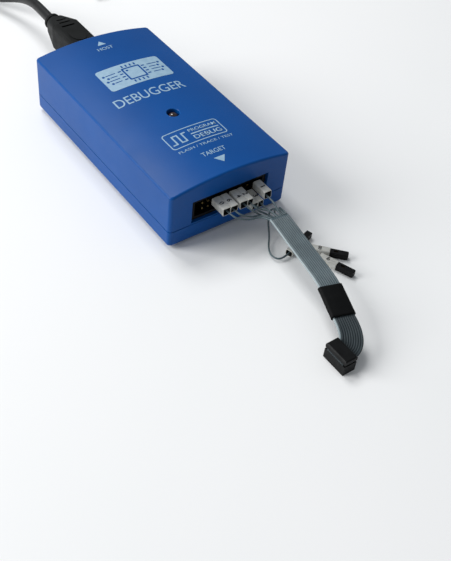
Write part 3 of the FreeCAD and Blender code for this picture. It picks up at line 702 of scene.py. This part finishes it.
def place(name: str, data: Mesh | bpy.types.Curve, finishes: Sequence[Finish],
          part: Part, slot: str, stands_for: Sequence[str] = (),
          at: Matrix | None = None) -> Piece:
    """Puts a piece in the scene on its body.

    Args:
        name: The piece's name.
        data: Its mesh or curve.
        finishes: Its finishes in order.
        part: The body it rides on.
        slot: Name of a material slot; not used.
        stands_for: Nodes that it replaces.
        at: Where it is put, if it isn't made in place.

    Returns:
        The piece.
    """
    piece = bpy.data.objects.new(name, data)
    bpy.context.scene.collection.objects.link(piece)
    if at is not None:
        data.transform(at)
    for finish in finishes:
        data.materials.append(finish.material())
    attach(piece, part.value)
    if stands_for:
        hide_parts(*stands_for)
    LOG.info("piece %s on %s", name, part.value)
    return piece


def dress(finish: Finish, *nodes: str) -> None:
    """Gives nodes of the frame a finish.

    Args:
        finish: The finish.
        nodes: The nodes' names.
    """
    for name in nodes:
        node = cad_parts[name]
        if not node.material_slots:
            node.data.materials.append(finish.material())
        for slot in node.material_slots:
            slot.material = finish.material()
        LOG.info("node %s in %s", name, finish.name)


# --- sub-assemblies ---
@dataclass
class Casing:
    """The two covers, what fastens them, the light and the prints on the crown.

    Attributes:
        width: Width of the case.
        height: Height at the middle of the crown.
        crown: Rise of the crown over the long edges.
        film: Thickness of the printed ink.
        strip: Width of the strips in which ink follows the crown.
        sink: How far the ink starts under the surface.
    """

    width: float = 53.0
    height: float = 27.0
    crown: float = 2.8
    film: float = 0.05
    strip: float = 2.0
    sink: float = 0.02

    def dress(self) -> None:
        """Gives the covers, feet, screws, label and light their finishes."""
        dress(CASE_BLUE, "top_cover", "bottom_cover")
        dress(SCREW_ZINC, "case_screws")
        dress(FOOT_RUBBER, "rubber_feet")
        dress(LABEL_FILM, "rating_label")
        dress(LENS_EPOXY, "status_led")
        dress(LEAD_TIN, "led_leads")

    def crown_height(self, x: float) -> float:
        """Height of the crown at an x, both in metres."""
        half = self.width / 2
        radius = (half ** 2 + self.crown ** 2) / (2 * self.crown)
        drop = radius - math.sqrt(radius ** 2 - (x / MM) ** 2)
        return (self.height - drop - self.sink) * MM

    def panel(self) -> list[Mesh]:
        """A solid panel with a chip and its tracks cut out of it.

        Returns:
            Flat shapes.
        """
        x, y = 1.5, 19.3
        outlines = [rectangle(x, y, 28.6, 14.4, 1.3), rectangle(x, y, 8.4, 8.4, 0.6),
                    rectangle(x, y, 6.8, 6.8, 0.4), rectangle(x - 2.2, y + 2.2, 1.1, 1.1, 0.5)]
        for i in range(4):
            step = (i - 1.5) * 1.9
            for side in (-1, 1):
                outlines.append(rectangle(x + side * 5.35, y + step, 1.5, 0.75))
                outlines.append(rectangle(x + step, y + side * 5.35, 0.75, 1.5))
                reach = 3.2 + 1.2 * (i % 2)
                outlines.append(rectangle(x + side * (7.3 + reach / 2), y + step, reach, 0.5))
                outlines.append(rectangle(x + side * (8.2 + reach), y + step, 1.2, 1.2, 0.55))
        return [filled(outlines)]

    def frame_panel(self) -> list[Mesh]:
        """A framed square wave beside two plain words.

        Returns:
            Flat shapes.
        """
        x, y = 0.0, -25.4
        ring = filled([rectangle(x, y, 24.4, 9.4, 1.3), rectangle(x, y, 23.6, 8.6, 1.0)])
        path = [(-10.6, -2.4), (-9.0, -2.4), (-9.0, 2.2), (-6.9, 2.2), (-6.9, -2.4),
                (-4.8, -2.4), (-4.8, 2.2), (-3.4, 2.2)]
        pulse = []
        for (ax, ay), (bx, by) in zip(path, path[1:]):
            pulse.append(filled([rectangle(x + (ax + bx) / 2, y + (ay + by) / 2,
                                           abs(bx - ax) + 0.6, abs(by - ay) + 0.6)]))
        return [ring, *pulse, filled([rectangle(x + 4.6, y + 0.2, 12.4, 0.55)]),
                lettered("PROGRAM", x + 4.6, y + 2.2, 12.2, 1.7, weight=0.1),
                lettered("DEBUG", x + 4.6, y - 2.1, 12.2, 2.3, weight=0.12)]

    def prints(self) -> None:
        """Lays the printed marks on the crown."""
        marks = {
            "print_host_mark": [filled([[(-1.9, 42.3), (1.9, 42.3), (0.0, 45.1)]]),
                                lettered("HOST", 0.0, 39.6, 7.0, 1.9)],
            "print_chip_panel": self.panel(),
            "print_use": [lettered("DEBUGGER", -0.6, 4.6, 31.0, 5.0)],
            "print_pulse_panel": self.frame_panel(),
            "print_small_line": [lettered("FLASH / TRACE / TEST", 0.6, -32.2, 24.0, 1.25)],
            "print_target_mark": [lettered("TARGET", 0.0, -37.6, 10.2, 2.2),
                                  filled([[(-2.4, -41.1), (0.0, -44.4), (2.4, -41.1)]])],
        }
        for name, flats in marks.items():
            film = print_film(name, flats, self.film + self.sink, self.crown_height, self.strip)
            place(name, film, [PRINT_INK], Part.HOUSING, "case_blue")

    def build(self) -> None:
        """Builds the casing."""
        self.dress()
        self.prints()


class BoardSet:
    """The board, what stands on it, the target header and the host socket."""

    finishes: dict[str, Finish] = {
        "circuit_board": LAMINATE, "header_pins": PIN_BRASS, "header_shroud": HEADER_PBT,
        "usb_socket_shell": SOCKET_STEEL, "usb_socket_core": SOCKET_PBT,
        "usb_socket_contacts": CONTACT_GOLD, "processor_chip": CHIP_EPOXY,
        "processor_leads": LEAD_TIN, "level_shifters": CHIP_EPOXY, "shifter_leads": LEAD_TIN,
        "voltage_regulator": CHIP_EPOXY, "clock_crystal": CAN_ALUMINIUM,
        "supply_capacitors": CAN_ALUMINIUM, "filter_inductor": CHIP_EPOXY,
        "chip_passives": LEAD_TIN,
    }

    def build(self) -> None:
        """Gives every node its finish."""
        for node, finish in self.finishes.items():
            dress(finish, node)


@dataclass
class HostLead:
    """The host lead: its plug at the case, its cable, coil, tie and far plug.

    Attributes:
        diameter: Cable diameter.
        neck: Where the cable leaves the plug's neck; not used.
        route: Control points from the neck to the coil.
        tail: Control points from the coil to the far plug.
        centre: Middle of the coil.
        inner: Radius of the innermost turn.
        low: Height of the lower layer's middle.
        turns: Turns in the coil.
        per_turn: Control points in each turn.
        length: Whole length of the cable; not used.
    """

    diameter: float = 4.5
    neck: Point = (0.0, 86.2, 15.0)
    route: tuple[Point, ...] = (
        (0.0, 86.2, 15.0), (0.2, 95.5, 15.1), (0.6, 106.5, 14.4), (-0.6, 117.5, 11.2),
        (-4.2, 128.0, 6.8), (-9.0, 138.3, 3.6), (-13.4, 148.7, 2.7), (-16.0, 159.5, 2.65))
    tail: tuple[Point, ...] = ((47.0, 164.0, 5.6), (46.7, 157.5, 4.7), (46.2, 150.0, 4.0))
    centre: Spot = (13.0, 170.0)
    inner: float = 20.5
    low: float = 2.65
    turns: float = 5.5
    per_turn: int = 20
    length: float = 980.0

    def shift(self, at: float, start: float) -> float:
        """How much of a step that starts at a turn count is done, from 0 to 1."""
        step_turns = 0.2
        done = min(1.0, max(0.0, (at - start) / step_turns))
        return done * done * (3 - 2 * done)

    def coil(self) -> list[Point]:
        """Winds the cable inward on the floor and back out on top of itself.

        Returns:
            Control points in millimetres.
        """
        swell = 1 / math.cos(math.pi / self.per_turn)
        inward_steps, outward_steps, climb_at = (0.5, 1.5), (3.28, 4.3, 5.3), 2.46
        end_sag = 1.2
        points = []
        for i in range(int(self.turns * self.per_turn) + 1):
            at = i / self.per_turn
            inward = sum(self.shift(at, start) for start in inward_steps)
            outward = sum(self.shift(at, start) for start in outward_steps)
            radius = self.inner + self.diameter * (2 - inward + outward)
            gap = 1 - self.shift(at, climb_at)
            climb = math.sqrt(1 - gap * gap)
            turn = math.pi - 2 * math.pi * at
            sag = end_sag * self.shift(at, outward_steps[-1])
            points.append((self.centre[0] + radius * swell * math.cos(turn),
                           self.centre[1] + radius * swell * math.sin(turn),
                           self.low + self.diameter * climb - sag))
        return points

    def cable(self) -> Piece:
        """Lays the cable from the plug's neck to the far plug.

        Returns:
            The cable.
        """
        points = [*self.route, *self.coil(), *self.tail]
        curve = nurbs_curve("host_cable", points, 8, self.diameter / 2)
        return place("host_cable", curve, [CABLE_PVC], Part.HOST, "cable_vinyl",
                     ["usb_cable", "usb_cable_coil", "usb_cable_tail"])

    def tie(self) -> Piece:
        """Wraps a woven strap round the coil, with its free end on top.

        Returns:
            The strap.
        """
        middle = Vector((self.centre[0], self.centre[1] + 25.0, 4.9))
        thick, wide, fray = 0.42, 4.6, 0.04
        around, before, overlap_from, overlap_run, lift = 1.16, 0.08, 0.93, 0.06, 0.5
        rings = []
        count = 120
        for i in range(count + 1):
            part = i / count * around - before
            lap = lift * max(0.0, min(1.0, (part - overlap_from) / overlap_run))
            along, up, *way = self.strap_spot(part)
            out = Vector((0, *way))
            base = middle + Vector((0, along, up)) + out * lap
            width = wide + 2 * fray * math.sin(i * 1.7)
            rings.append([to_metres(base + Vector((px, 0, 0)) + out * pz)
                          for px, pz in rounded_ring(width, thick, thick * 0.45, 3)])
        return place("coil_strap", loft("coil_strap", rings), [STRAP_NYLON], Part.HOST,
                     "tie_nylon", ["cable_tie"])

    def strap_spot(self, part: float) -> tuple[float, float, float, float]:
        """Place and outward way on the strap's loop.

        Args:
            part: How far round the loop, from the middle of its top.

        Returns:
            The place along and up from the loop's middle, and the way outward.
        """
        half_long, half_high, corner = 6.95, 4.68, 2.1
        runs = [half_long - corner, corner * math.pi / 2, 2 * (half_high - corner),
                corner * math.pi / 2, 2 * (half_long - corner), corner * math.pi / 2,
                2 * (half_high - corner), corner * math.pi / 2, half_long - corner]
        left = (part % 1.0) * sum(runs)
        flat = [(0, half_high, 1, 0), (0, 0, 0, 0), (half_long, half_high - corner, 0, -1),
                (0, 0, 0, 0), (half_long - corner, -half_high, -1, 0), (0, 0, 0, 0),
                (-half_long, corner - half_high, 0, 1), (0, 0, 0, 0),
                (corner - half_long, half_high, 1, 0)]
        middles = {1: (1, 1), 3: (1, -1), 5: (-1, -1), 7: (-1, 1)}
        for i, run in enumerate(runs):
            if left <= run or i == len(runs) - 1:
                break
            left -= run
        if i in middles:
            sy, sz = middles[i]
            angle = math.pi / 2 - (i - 1) / 2 * math.pi / 2 - left / corner
            out = (math.cos(angle), math.sin(angle))
            return (sy * (half_long - corner) + corner * out[0],
                    sz * (half_high - corner) + corner * out[1], *out)
        y, z, wy, wz = flat[i]
        return (y + wy * left, z + wz * left, -wz, wy)

    def build(self) -> None:
        """Builds the lead: its plugs, cable and tie."""
        dress(PLUG_PVC, "usb_plug_body", "host_plug_body")
        dress(SOCKET_STEEL, "usb_plug_shell", "host_plug_shell")
        dress(SOCKET_PBT, "usb_plug_insert", "host_plug_tongue")
        cable, tie = self.cable(), self.tie()


@dataclass
class AdapterLead:
    """The adapter lead: sleeved jumper sockets, wires, ribbon, heat shrink and its plug.

    Attributes:
        pitch: Spacing of the ribbon's conductors.
        lobe: Radius of a conductor's jacket.
        ways: Number of conductors.
        stations: Ribbon control points, and the turn of its width in degrees.
        shrink: The heat shrink's first and last station.
        arc: Runs round the seen half of a conductor.
        wire: Diameter of a single wire.
        plugged: Tip x and z of each socket on the header.
        tip_y: Where those tips are.
        free: Tip x, y and pointing way of each free socket.
        digits: The digit on each sleeve.
        sides: Side to which each sleeve on the header is wide: -1 left, 1 right, 0 neither.
        tight: Reach of a sleeve where it meets its neighbour.
        flare: Extra reach on its wide side.
        rise: Extra reach away from the other row.
        loose: Half width and half height of a free socket's sleeve.
        sleeve_length: Length of a sleeve.
        sleeve_wall: Its wall.
        reach: Length from a tip to its sleeve's end.
        crimp: Length from a tip to where its wire starts.
        straight: Straight wire behind a sleeve.
    """

    pitch: float = 0.8
    lobe: float = 0.43
    ways: int = 10
    stations: tuple[tuple[float, float, float, float], ...] = (
        (9.9, -66.6, 12.8, 0), (9.4, -71.5, 12.5, -3), (8.8, -77.0, 11.9, -4),
        (8.2, -84.3, 11.0, -5), (7.6, -92.0, 10.1, -8), (6.8, -98.0, 9.6, -14),
        (6.0, -101.2, 9.3, -18), (2.0, -113.0, 8.2, -18), (1.3, -116.2, 7.6, -22),
        (0.4, -119.2, 6.5, -38), (-1.0, -121.6, 5.4, -60), (-2.6, -122.9, 4.8, -80),
        (-4.4, -123.3, 4.6, -90), (-9.6, -123.3, 4.6, -90))
    shrink: tuple[int, int] = (6, 7)
    arc: int = 7
    wire: float = 0.7
    plugged: tuple[Spot, ...] = ((-6.35, 15.17), (-3.81, 15.17), (1.27, 15.17), (3.81, 15.17),
                                 (6.35, 12.63), (8.89, 12.63), (11.43, 15.17))
    tip_y: float = -42.8
    free: tuple[tuple[float, float, float, float], ...] = (
        (23.4, -70.6, 0.95, 0.31), (28.1, -87.5, 0.68, -0.73), (23.7, -95.7, 0.36, -0.93))
    digits: str = "0642531789"
    sides: tuple[int, ...] = (-1, 1, -1, 0, 0, 0, 1)
    tight: float = 1.26
    flare: float = 0.8
    rise: float = 0.57
    loose: Spot = (1.5, 1.45)
    sleeve_length: float = 7.2
    sleeve_wall: float = 0.2
    reach: float = 14.2
    crimp: float = 10.0
    straight: float = 2.3
    routes: tuple[tuple[Point, ...], ...] = (
        ((-4.4, -61.4, 14.2), (0.2, -62.3, 12.6), (4.3, -62.2, 11.8), (5.9, -64.1, 12.2)),
        ((-1.8, -60.9, 14.2), (1.6, -61.4, 12.6), (5.2, -61.2, 11.6), (6.8, -63.4, 12.1)),
        ((3.0, -60.8, 14.1), (5.8, -60.1, 11.0), (7.7, -63.5, 10.8)),
        ((5.3, -60.8, 13.1), (7.5, -60.6, 11.4), (9.1, -62.8, 10.7)),
        ((8.2, -61.2, 13.0), (9.4, -63.6, 12.9)),
        ((9.6, -61.6, 11.8), (10.2, -64.0, 12.1)),
        ((11.5, -61.9, 14.7), (11.2, -64.2, 13.3)))
    free_routes: tuple[tuple[Point, ...], ...] = (
        ((11.9, -62.4, 12.8), (11.6, -59.6, 10.2), (11.0, -60.0, 5.6), (9.2, -64.0, 2.0),
         (5.8, -68.0, 0.9), (3.8, -71.9, 1.0), (4.5, -75.3, 1.3)),
        ((12.7, -62.4, 12.8), (13.2, -59.8, 9.9), (13.6, -62.0, 6.4), (13.0, -66.8, 5.4),
         (13.6, -71.4, 5.3), (15.3, -75.1, 3.6)),
        ((13.5, -63.0, 12.9), (14.9, -60.6, 10.4), (15.8, -62.8, 7.2), (15.4, -67.8, 5.6),
         (15.4, -73.0, 5.2), (16.4, -77.8, 3.0)))

    def sockets(self) -> list[tuple[Vector, Vector]]:
        """Tip and pointing way of every socket, in millimetres.

        Returns:
            A tip and a way for each.
        """
        places = [(Vector((x, self.tip_y, z)), Vector((0, 1, 0))) for x, z in self.plugged]
        for x, y, dx, dy in self.free:
            places.append((Vector((x, y, self.loose[1])), Vector((dx, dy, 0)).normalized()))
        return places

    def stand(self, tip: Vector, way: Vector) -> Matrix:
        """Turns +Y to the way and moves the origin to the tip, in metres."""
        return (Matrix.Translation(tip * MM)
                @ Matrix.Rotation(math.atan2(-way.x, way.y), 4, "Z"))

    def sleeve_reach(self, number: int) -> tuple[float, float, float, float]:
        """How far a sleeve reaches from its socket's middle.

        Args:
            number: Which socket it is on.

        Returns:
            Its reach left, right, down and up, in millimetres.
        """
        if number >= len(self.plugged):
            return (self.loose[0], self.loose[0], self.loose[1], self.loose[1])
        side = self.sides[number]
        upper = self.plugged[number][1] == max(z for _, z in self.plugged)
        return (self.tight + self.flare * (side < 0), self.tight + self.flare * (side > 0),
                self.tight + self.rise * (not upper), self.tight + self.rise * upper)

    def sleeve_mesh(self, number: int) -> Mesh:
        """A cut piece of soft tube that grips its socket and gapes a little behind.

        Args:
            number: Which socket it is on; each differs slightly.

        Returns:
            The mesh, about the socket's tip.
        """
        left, right, down, up = self.sleeve_reach(number)
        shift = ((right - left) / 2, (up - down) / 2)
        corner = 0.32 if number < len(self.plugged) else 0.6
        slant = random.Random(number).uniform(-0.12, 0.12)
        front, back = self.sleeve_length - self.reach, -self.reach
        outside = [(front, -0.05), (front - 0.12, -0.01), (front - 3.0, 0.0),
                   (back + 0.9, 0.0), (back + 0.12, 0.0), (back, -0.07)]
        inside = [(back, self.sleeve_wall), (back + 2.4, self.sleeve_wall),
                  (front, self.sleeve_wall)]
        rings = []
        for y, swell in [*outside, *[(y, -2 * wall) for y, wall in inside]]:
            near = max(0.0, 1 - (y - back) / 1.5)
            rings.append([to_metres((shift[0] + x, y + slant * near * z, shift[1] + z))
                          for x, z in rounded_ring(left + right + swell, down + up + swell,
                                                   corner, 5)])
        mesh = loft("sleeve", rings, closed=True)
        size = len(rings[0])
        # The inner wall takes the second finish, black jumper nylon: painted shade inside the
        # open rear end of the white tube.
        painted_shade_faces = range(len(outside) * size, (len(rings) - 1) * size)
        for face in mesh.polygons:
            face.material_index = int(face.index in painted_shade_faces)
        return mesh

    def sleeves(self) -> list[Piece]:
        """Makes the sleeves and their digits.

        Returns:
            The sleeves.
        """
        made = []
        for i, (tip, way) in enumerate(self.sockets()):
            left, right, _, up = self.sleeve_reach(i)
            stand = self.stand(tip, way)
            # The second finish, black jumper nylon, is painted shade on each sleeve's inner wall.
            sleeve = place("marker_sleeve_%d" % i, self.sleeve_mesh(i),
                           [SLEEVE_PVC, JUMPER_NYLON], Part.TARGET, "sleeve_white",
                           ["number_sleeves"], stand)
            middle = -(self.reach - self.sleeve_length / 2 + 0.2)
            breadth = 0.5 if self.digits[i] == "1" else 1.3
            flat = lettered(self.digits[i], (right - left) / 2, middle, breadth, 2.0, -90.0,
                            0.18)
            film = print_film("digit", [flat], 0.05, lambda x, top=up: (top - 0.02) * MM)
            place("sleeve_digit_%d" % i, film, [DIGIT_INK], Part.TARGET, "sleeve_white", (),
                  stand)
            made.append(sleeve)
        return made

    def wires(self) -> None:
        """Runs a wire from each socket to its place in the ribbon.
        """
        start = Vector(self.stations[0][:3])
        for i, (tip, way) in enumerate(self.sockets()):
            end = start + Vector(((i - (self.ways - 1) / 2) * self.pitch, 0, 0))
            inside = tip - way * self.crimp
            outside = tip - way * (self.reach + self.straight)
            name = "ribbon_wire_%d" % i
            ends = (inside, outside)
            on_header = i < len(self.plugged)
            if on_header:
                points = [*ends, *self.routes[i], end]
            else:
                points = [end, *self.free_routes[i - len(self.plugged)], outside, inside]
            curve = nurbs_curve(name, points, 8, self.wire / 2)
            wire = place(name, curve, [RIBBON_PVC], Part.TARGET, "ribbon_grey",
                         ["lead_wire_%d" % i])
            if not on_header:
                length = run_length(smooth_line(points))

    def ribbon_frames(self) -> list[tuple[Vector, Vector, Vector]]:
        """Follows the ribbon's line and its twist.

        Returns:
            Place, width way and thickness way along it; the place is in metres.
        """
        line = smooth_line([s[:3] for s in self.stations])
        turns = smooth_line([(s[3], 0, 0) for s in self.stations])
        frames = []
        for i, spot in enumerate(line):
            way = line[min(i + 1, len(line) - 1)] - line[max(i - 1, 0)]
            way.normalize()
            turn = math.radians(turns[i].x / MM)
            across = Vector((math.cos(turn), math.sin(turn), 0))
            across = (across - way * across.dot(way)).normalized()
            frames.append((spot, across, way.cross(across).normalized()))
        return frames

    def ribbon_profile(self) -> list[Spot]:
        """Ten round jackets grown together, in millimetres.

        Returns:
            Points round the section: across and through.
        """
        meet = math.acos(self.pitch / 2 / self.lobe)
        top, bottom = [], []
        for i in range(self.ways):
            x = (i - (self.ways - 1) / 2) * self.pitch
            first = math.pi if i == 0 else math.pi - meet
            last = 0.0 if i == self.ways - 1 else meet
            for step in range(self.arc):
                turn = first + (last - first) * step / self.arc
                top.append((x + self.lobe * math.cos(turn), self.lobe * math.sin(turn)))
        for x, z in top:
            bottom.append((-x, -z))
        return top + bottom

    def ribbon(self) -> Piece:
        """Sweeps the ribbon along its line.

        Returns:
            The ribbon.
        """
        frames = self.ribbon_frames()
        profile = self.ribbon_profile()
        rings = [[spot + across * x * MM + through * z * MM for x, z in profile]
                 for spot, across, through in frames]
        mesh = loft("grey_ribbon", rings)
        piece = place("grey_ribbon", mesh, [RIBBON_PVC, RIBBON_EDGE, RIBBON_PAINTED_SHADE],
                      Part.TARGET, "ribbon_grey", ["ribbon_cable"])
        size = len(profile)
        pale_conductor_spots = {*range(self.arc), *range(size - self.arc, size)}
        # Faces past the heat shrink take the third finish, a darker copy of the ribbon: painted
        # shade where the ribbon turns from the light.
        painted_shade_start = size * self.shrink[1] * LINE_STEPS
        for face in mesh.polygons:
            if len(face.vertices) == 4 and all(v % size in pale_conductor_spots for v in face.vertices):
                face.material_index = 1
            elif min(face.vertices) >= painted_shade_start:
                face.material_index = 2
        return piece

    def shrink_sleeve(self) -> Piece:
        """Shrinks a sleeve over the ribbon, creased where it drew in.

        Returns:
            The heat shrink.
        """
        frames = self.ribbon_frames()
        first, last = (Vector(self.stations[i][:3]) * MM for i in self.shrink)
        nearest = [min(range(len(frames)), key=lambda i, p=p: (frames[i][0] - p).length)
                   for p in (first, last)]
        span = frames[nearest[0]:nearest[1] + 1]
        half = self.pitch * self.ways / 2
        rings = []
        rng = random.Random(5)
        waves = [(rng.uniform(2, 5), rng.uniform(0, 6.3), rng.uniform(0.008, 0.02))
                 for _ in range(4)]
        outer_wall, inner_wall, lip_depth, corner = 0.55, 0.08, 0.04, 0.4
        for wall in (outer_wall, inner_wall):
            outer = wall == outer_wall
            run = list(enumerate(span))
            for i, (spot, across, through) in (run if outer else reversed(run)):
                at = i / (len(span) - 1)
                lip = lip_depth * max(0.0, 1 - 12 * min(at, 1 - at)) if outer else 0.0
                ring = []
                for x, z in rounded_ring(2 * (half + wall), 2 * (self.lobe + wall),
                                         corner + wall, 5):
                    ripple = sum(h * math.sin(n * x * 0.8 + p + at * 5 * n)
                                 for n, p, h in waves) if outer else 0.0
                    reach = z + math.copysign(ripple - lip, z)
                    ring.append(spot + across * x * MM + through * reach * MM)
                rings.append(ring)
        mesh = loft("shrink_sleeve", rings, closed=True)
        return place("shrink_sleeve", mesh, [SHRINK_POLYOLEFIN], Part.TARGET, "shrink_black",
                     ["heat_shrink"])

    def build(self) -> None:
        """Builds the lead: its sleeves, ribbon, heat shrink and wires."""
        dress(JUMPER_NYLON, *["jumper_socket_%d" % i for i in range(self.ways)])
        dress(CONTACT_GOLD, "socket_contacts", "idc_contacts")
        dress(IDC_PBT, "idc_plug_body", "idc_plug_cover")
        sleeves = self.sleeves()
        ribbon, shrink = self.ribbon(), self.shrink_sleeve()
        line = [spot for spot, _, _ in self.ribbon_frames()]
        self.wires()


@dataclass
class Studio:
    """Plain pale floor, soft light and the camera.

    Attributes:
        target: Point that the camera looks at.
        distance: Distance of the camera from it.
        azimuth: Way round the object, in degrees; 0 looks along +Y.
        elevation: Height over the horizon, in degrees.
        roll: Roll about the line of sight, in degrees.
        lens: Lens in millimetres on a 36 mm sensor.
    """

    target: Point = (-17.30, -73.14, 0.0)
    distance: float = 323.04
    azimuth: float = -40.594
    elevation: float = 45.74
    roll: float = 6.981
    lens: float = 58.35

    def floor(self) -> None:
        """Lays a wide sheet of paper under the object."""
        reach = 2.5
        corners = [(-reach, -reach, 0), (reach, -reach, 0), (reach, reach, 0),
                   (-reach, reach, 0)]
        sheet = bpy.data.objects.new("floor", mesh_of("floor", corners, [(0, 1, 2, 3)], False))
        bpy.context.scene.collection.objects.link(sheet)
        sheet.data.materials.append(SWEEP_PAPER.material())

    def lamp(self, name: str, spot: Point, size: float, power: float) -> None:
        """Hangs a soft square light that faces the origin.

        Args:
            name: Its name.
            spot: Where it hangs, in metres.
            size: Its side in metres.
            power: Its power in watts.
        """
        light = bpy.data.lights.new(name, "AREA")
        light.shape = "SQUARE"
        light.size = size
        light.energy = power
        holder = bpy.data.objects.new(name, light)
        bpy.context.scene.collection.objects.link(holder)
        holder.location = spot
        holder.rotation_euler = (-Vector(spot)).to_track_quat("-Z", "Y").to_euler()

    def sky(self) -> None:
        """Fills the room with even pale light."""
        world = bpy.data.worlds.new("room")
        world.use_nodes = True
        world.node_tree.nodes.clear()
        air = add_node(world.node_tree, "ShaderNodeBackground",
                       {"Color": linear("#eef3f8"), "Strength": 0.34})
        add_node(world.node_tree, "ShaderNodeOutputWorld",
                 links={"Surface": air.outputs["Background"]})
        bpy.context.scene.world = world

    def camera(self) -> None:
        """Stands the camera."""
        a, e, r = (math.radians(v) for v in (self.azimuth, self.elevation, self.roll))
        back = Vector((math.sin(a) * math.cos(e), -math.cos(a) * math.cos(e), math.sin(e)))
        level = Vector((0, 0, 1)).cross(back).normalized()
        rise = back.cross(level)
        right = level * math.cos(r) + rise * math.sin(r)
        up = rise * math.cos(r) - level * math.sin(r)
        spot = to_metres(self.target) + back * self.distance * MM
        camera = bpy.data.objects.new("camera", bpy.data.cameras.new("camera"))
        bpy.context.scene.collection.objects.link(camera)
        camera.matrix_world = Matrix((
            (right.x, up.x, back.x, spot.x), (right.y, up.y, back.y, spot.y),
            (right.z, up.z, back.z, spot.z), (0, 0, 0, 1)))
        camera.data.lens = self.lens
        camera.data.sensor_width = 36.0
        camera.data.clip_start = 0.01
        camera.data.clip_end = 20.0
        bpy.context.scene.camera = camera

    def build(self) -> None:
        """Builds the studio."""
        bpy.context.scene.view_settings.view_transform = "Standard"
        self.floor()
        self.sky()
        self.lamp("soft_left", (-1.0, 0.5, 0.62), 0.7, 15.0)
        self.lamp("soft_back", (0.0, 0.66, 1.06), 0.5, 7.0)
        self.camera()


def main() -> None:
    """Builds every sub-assembly in order."""
    logging.basicConfig(level=logging.INFO, format="%(name)s: %(message)s")
    for part in (Studio(), Casing(), BoardSet(), HostLead(), AdapterLead()):
        LOG.info("building %s", type(part).__name__)
        part.build()


if __name__ == "__main__":
    main()
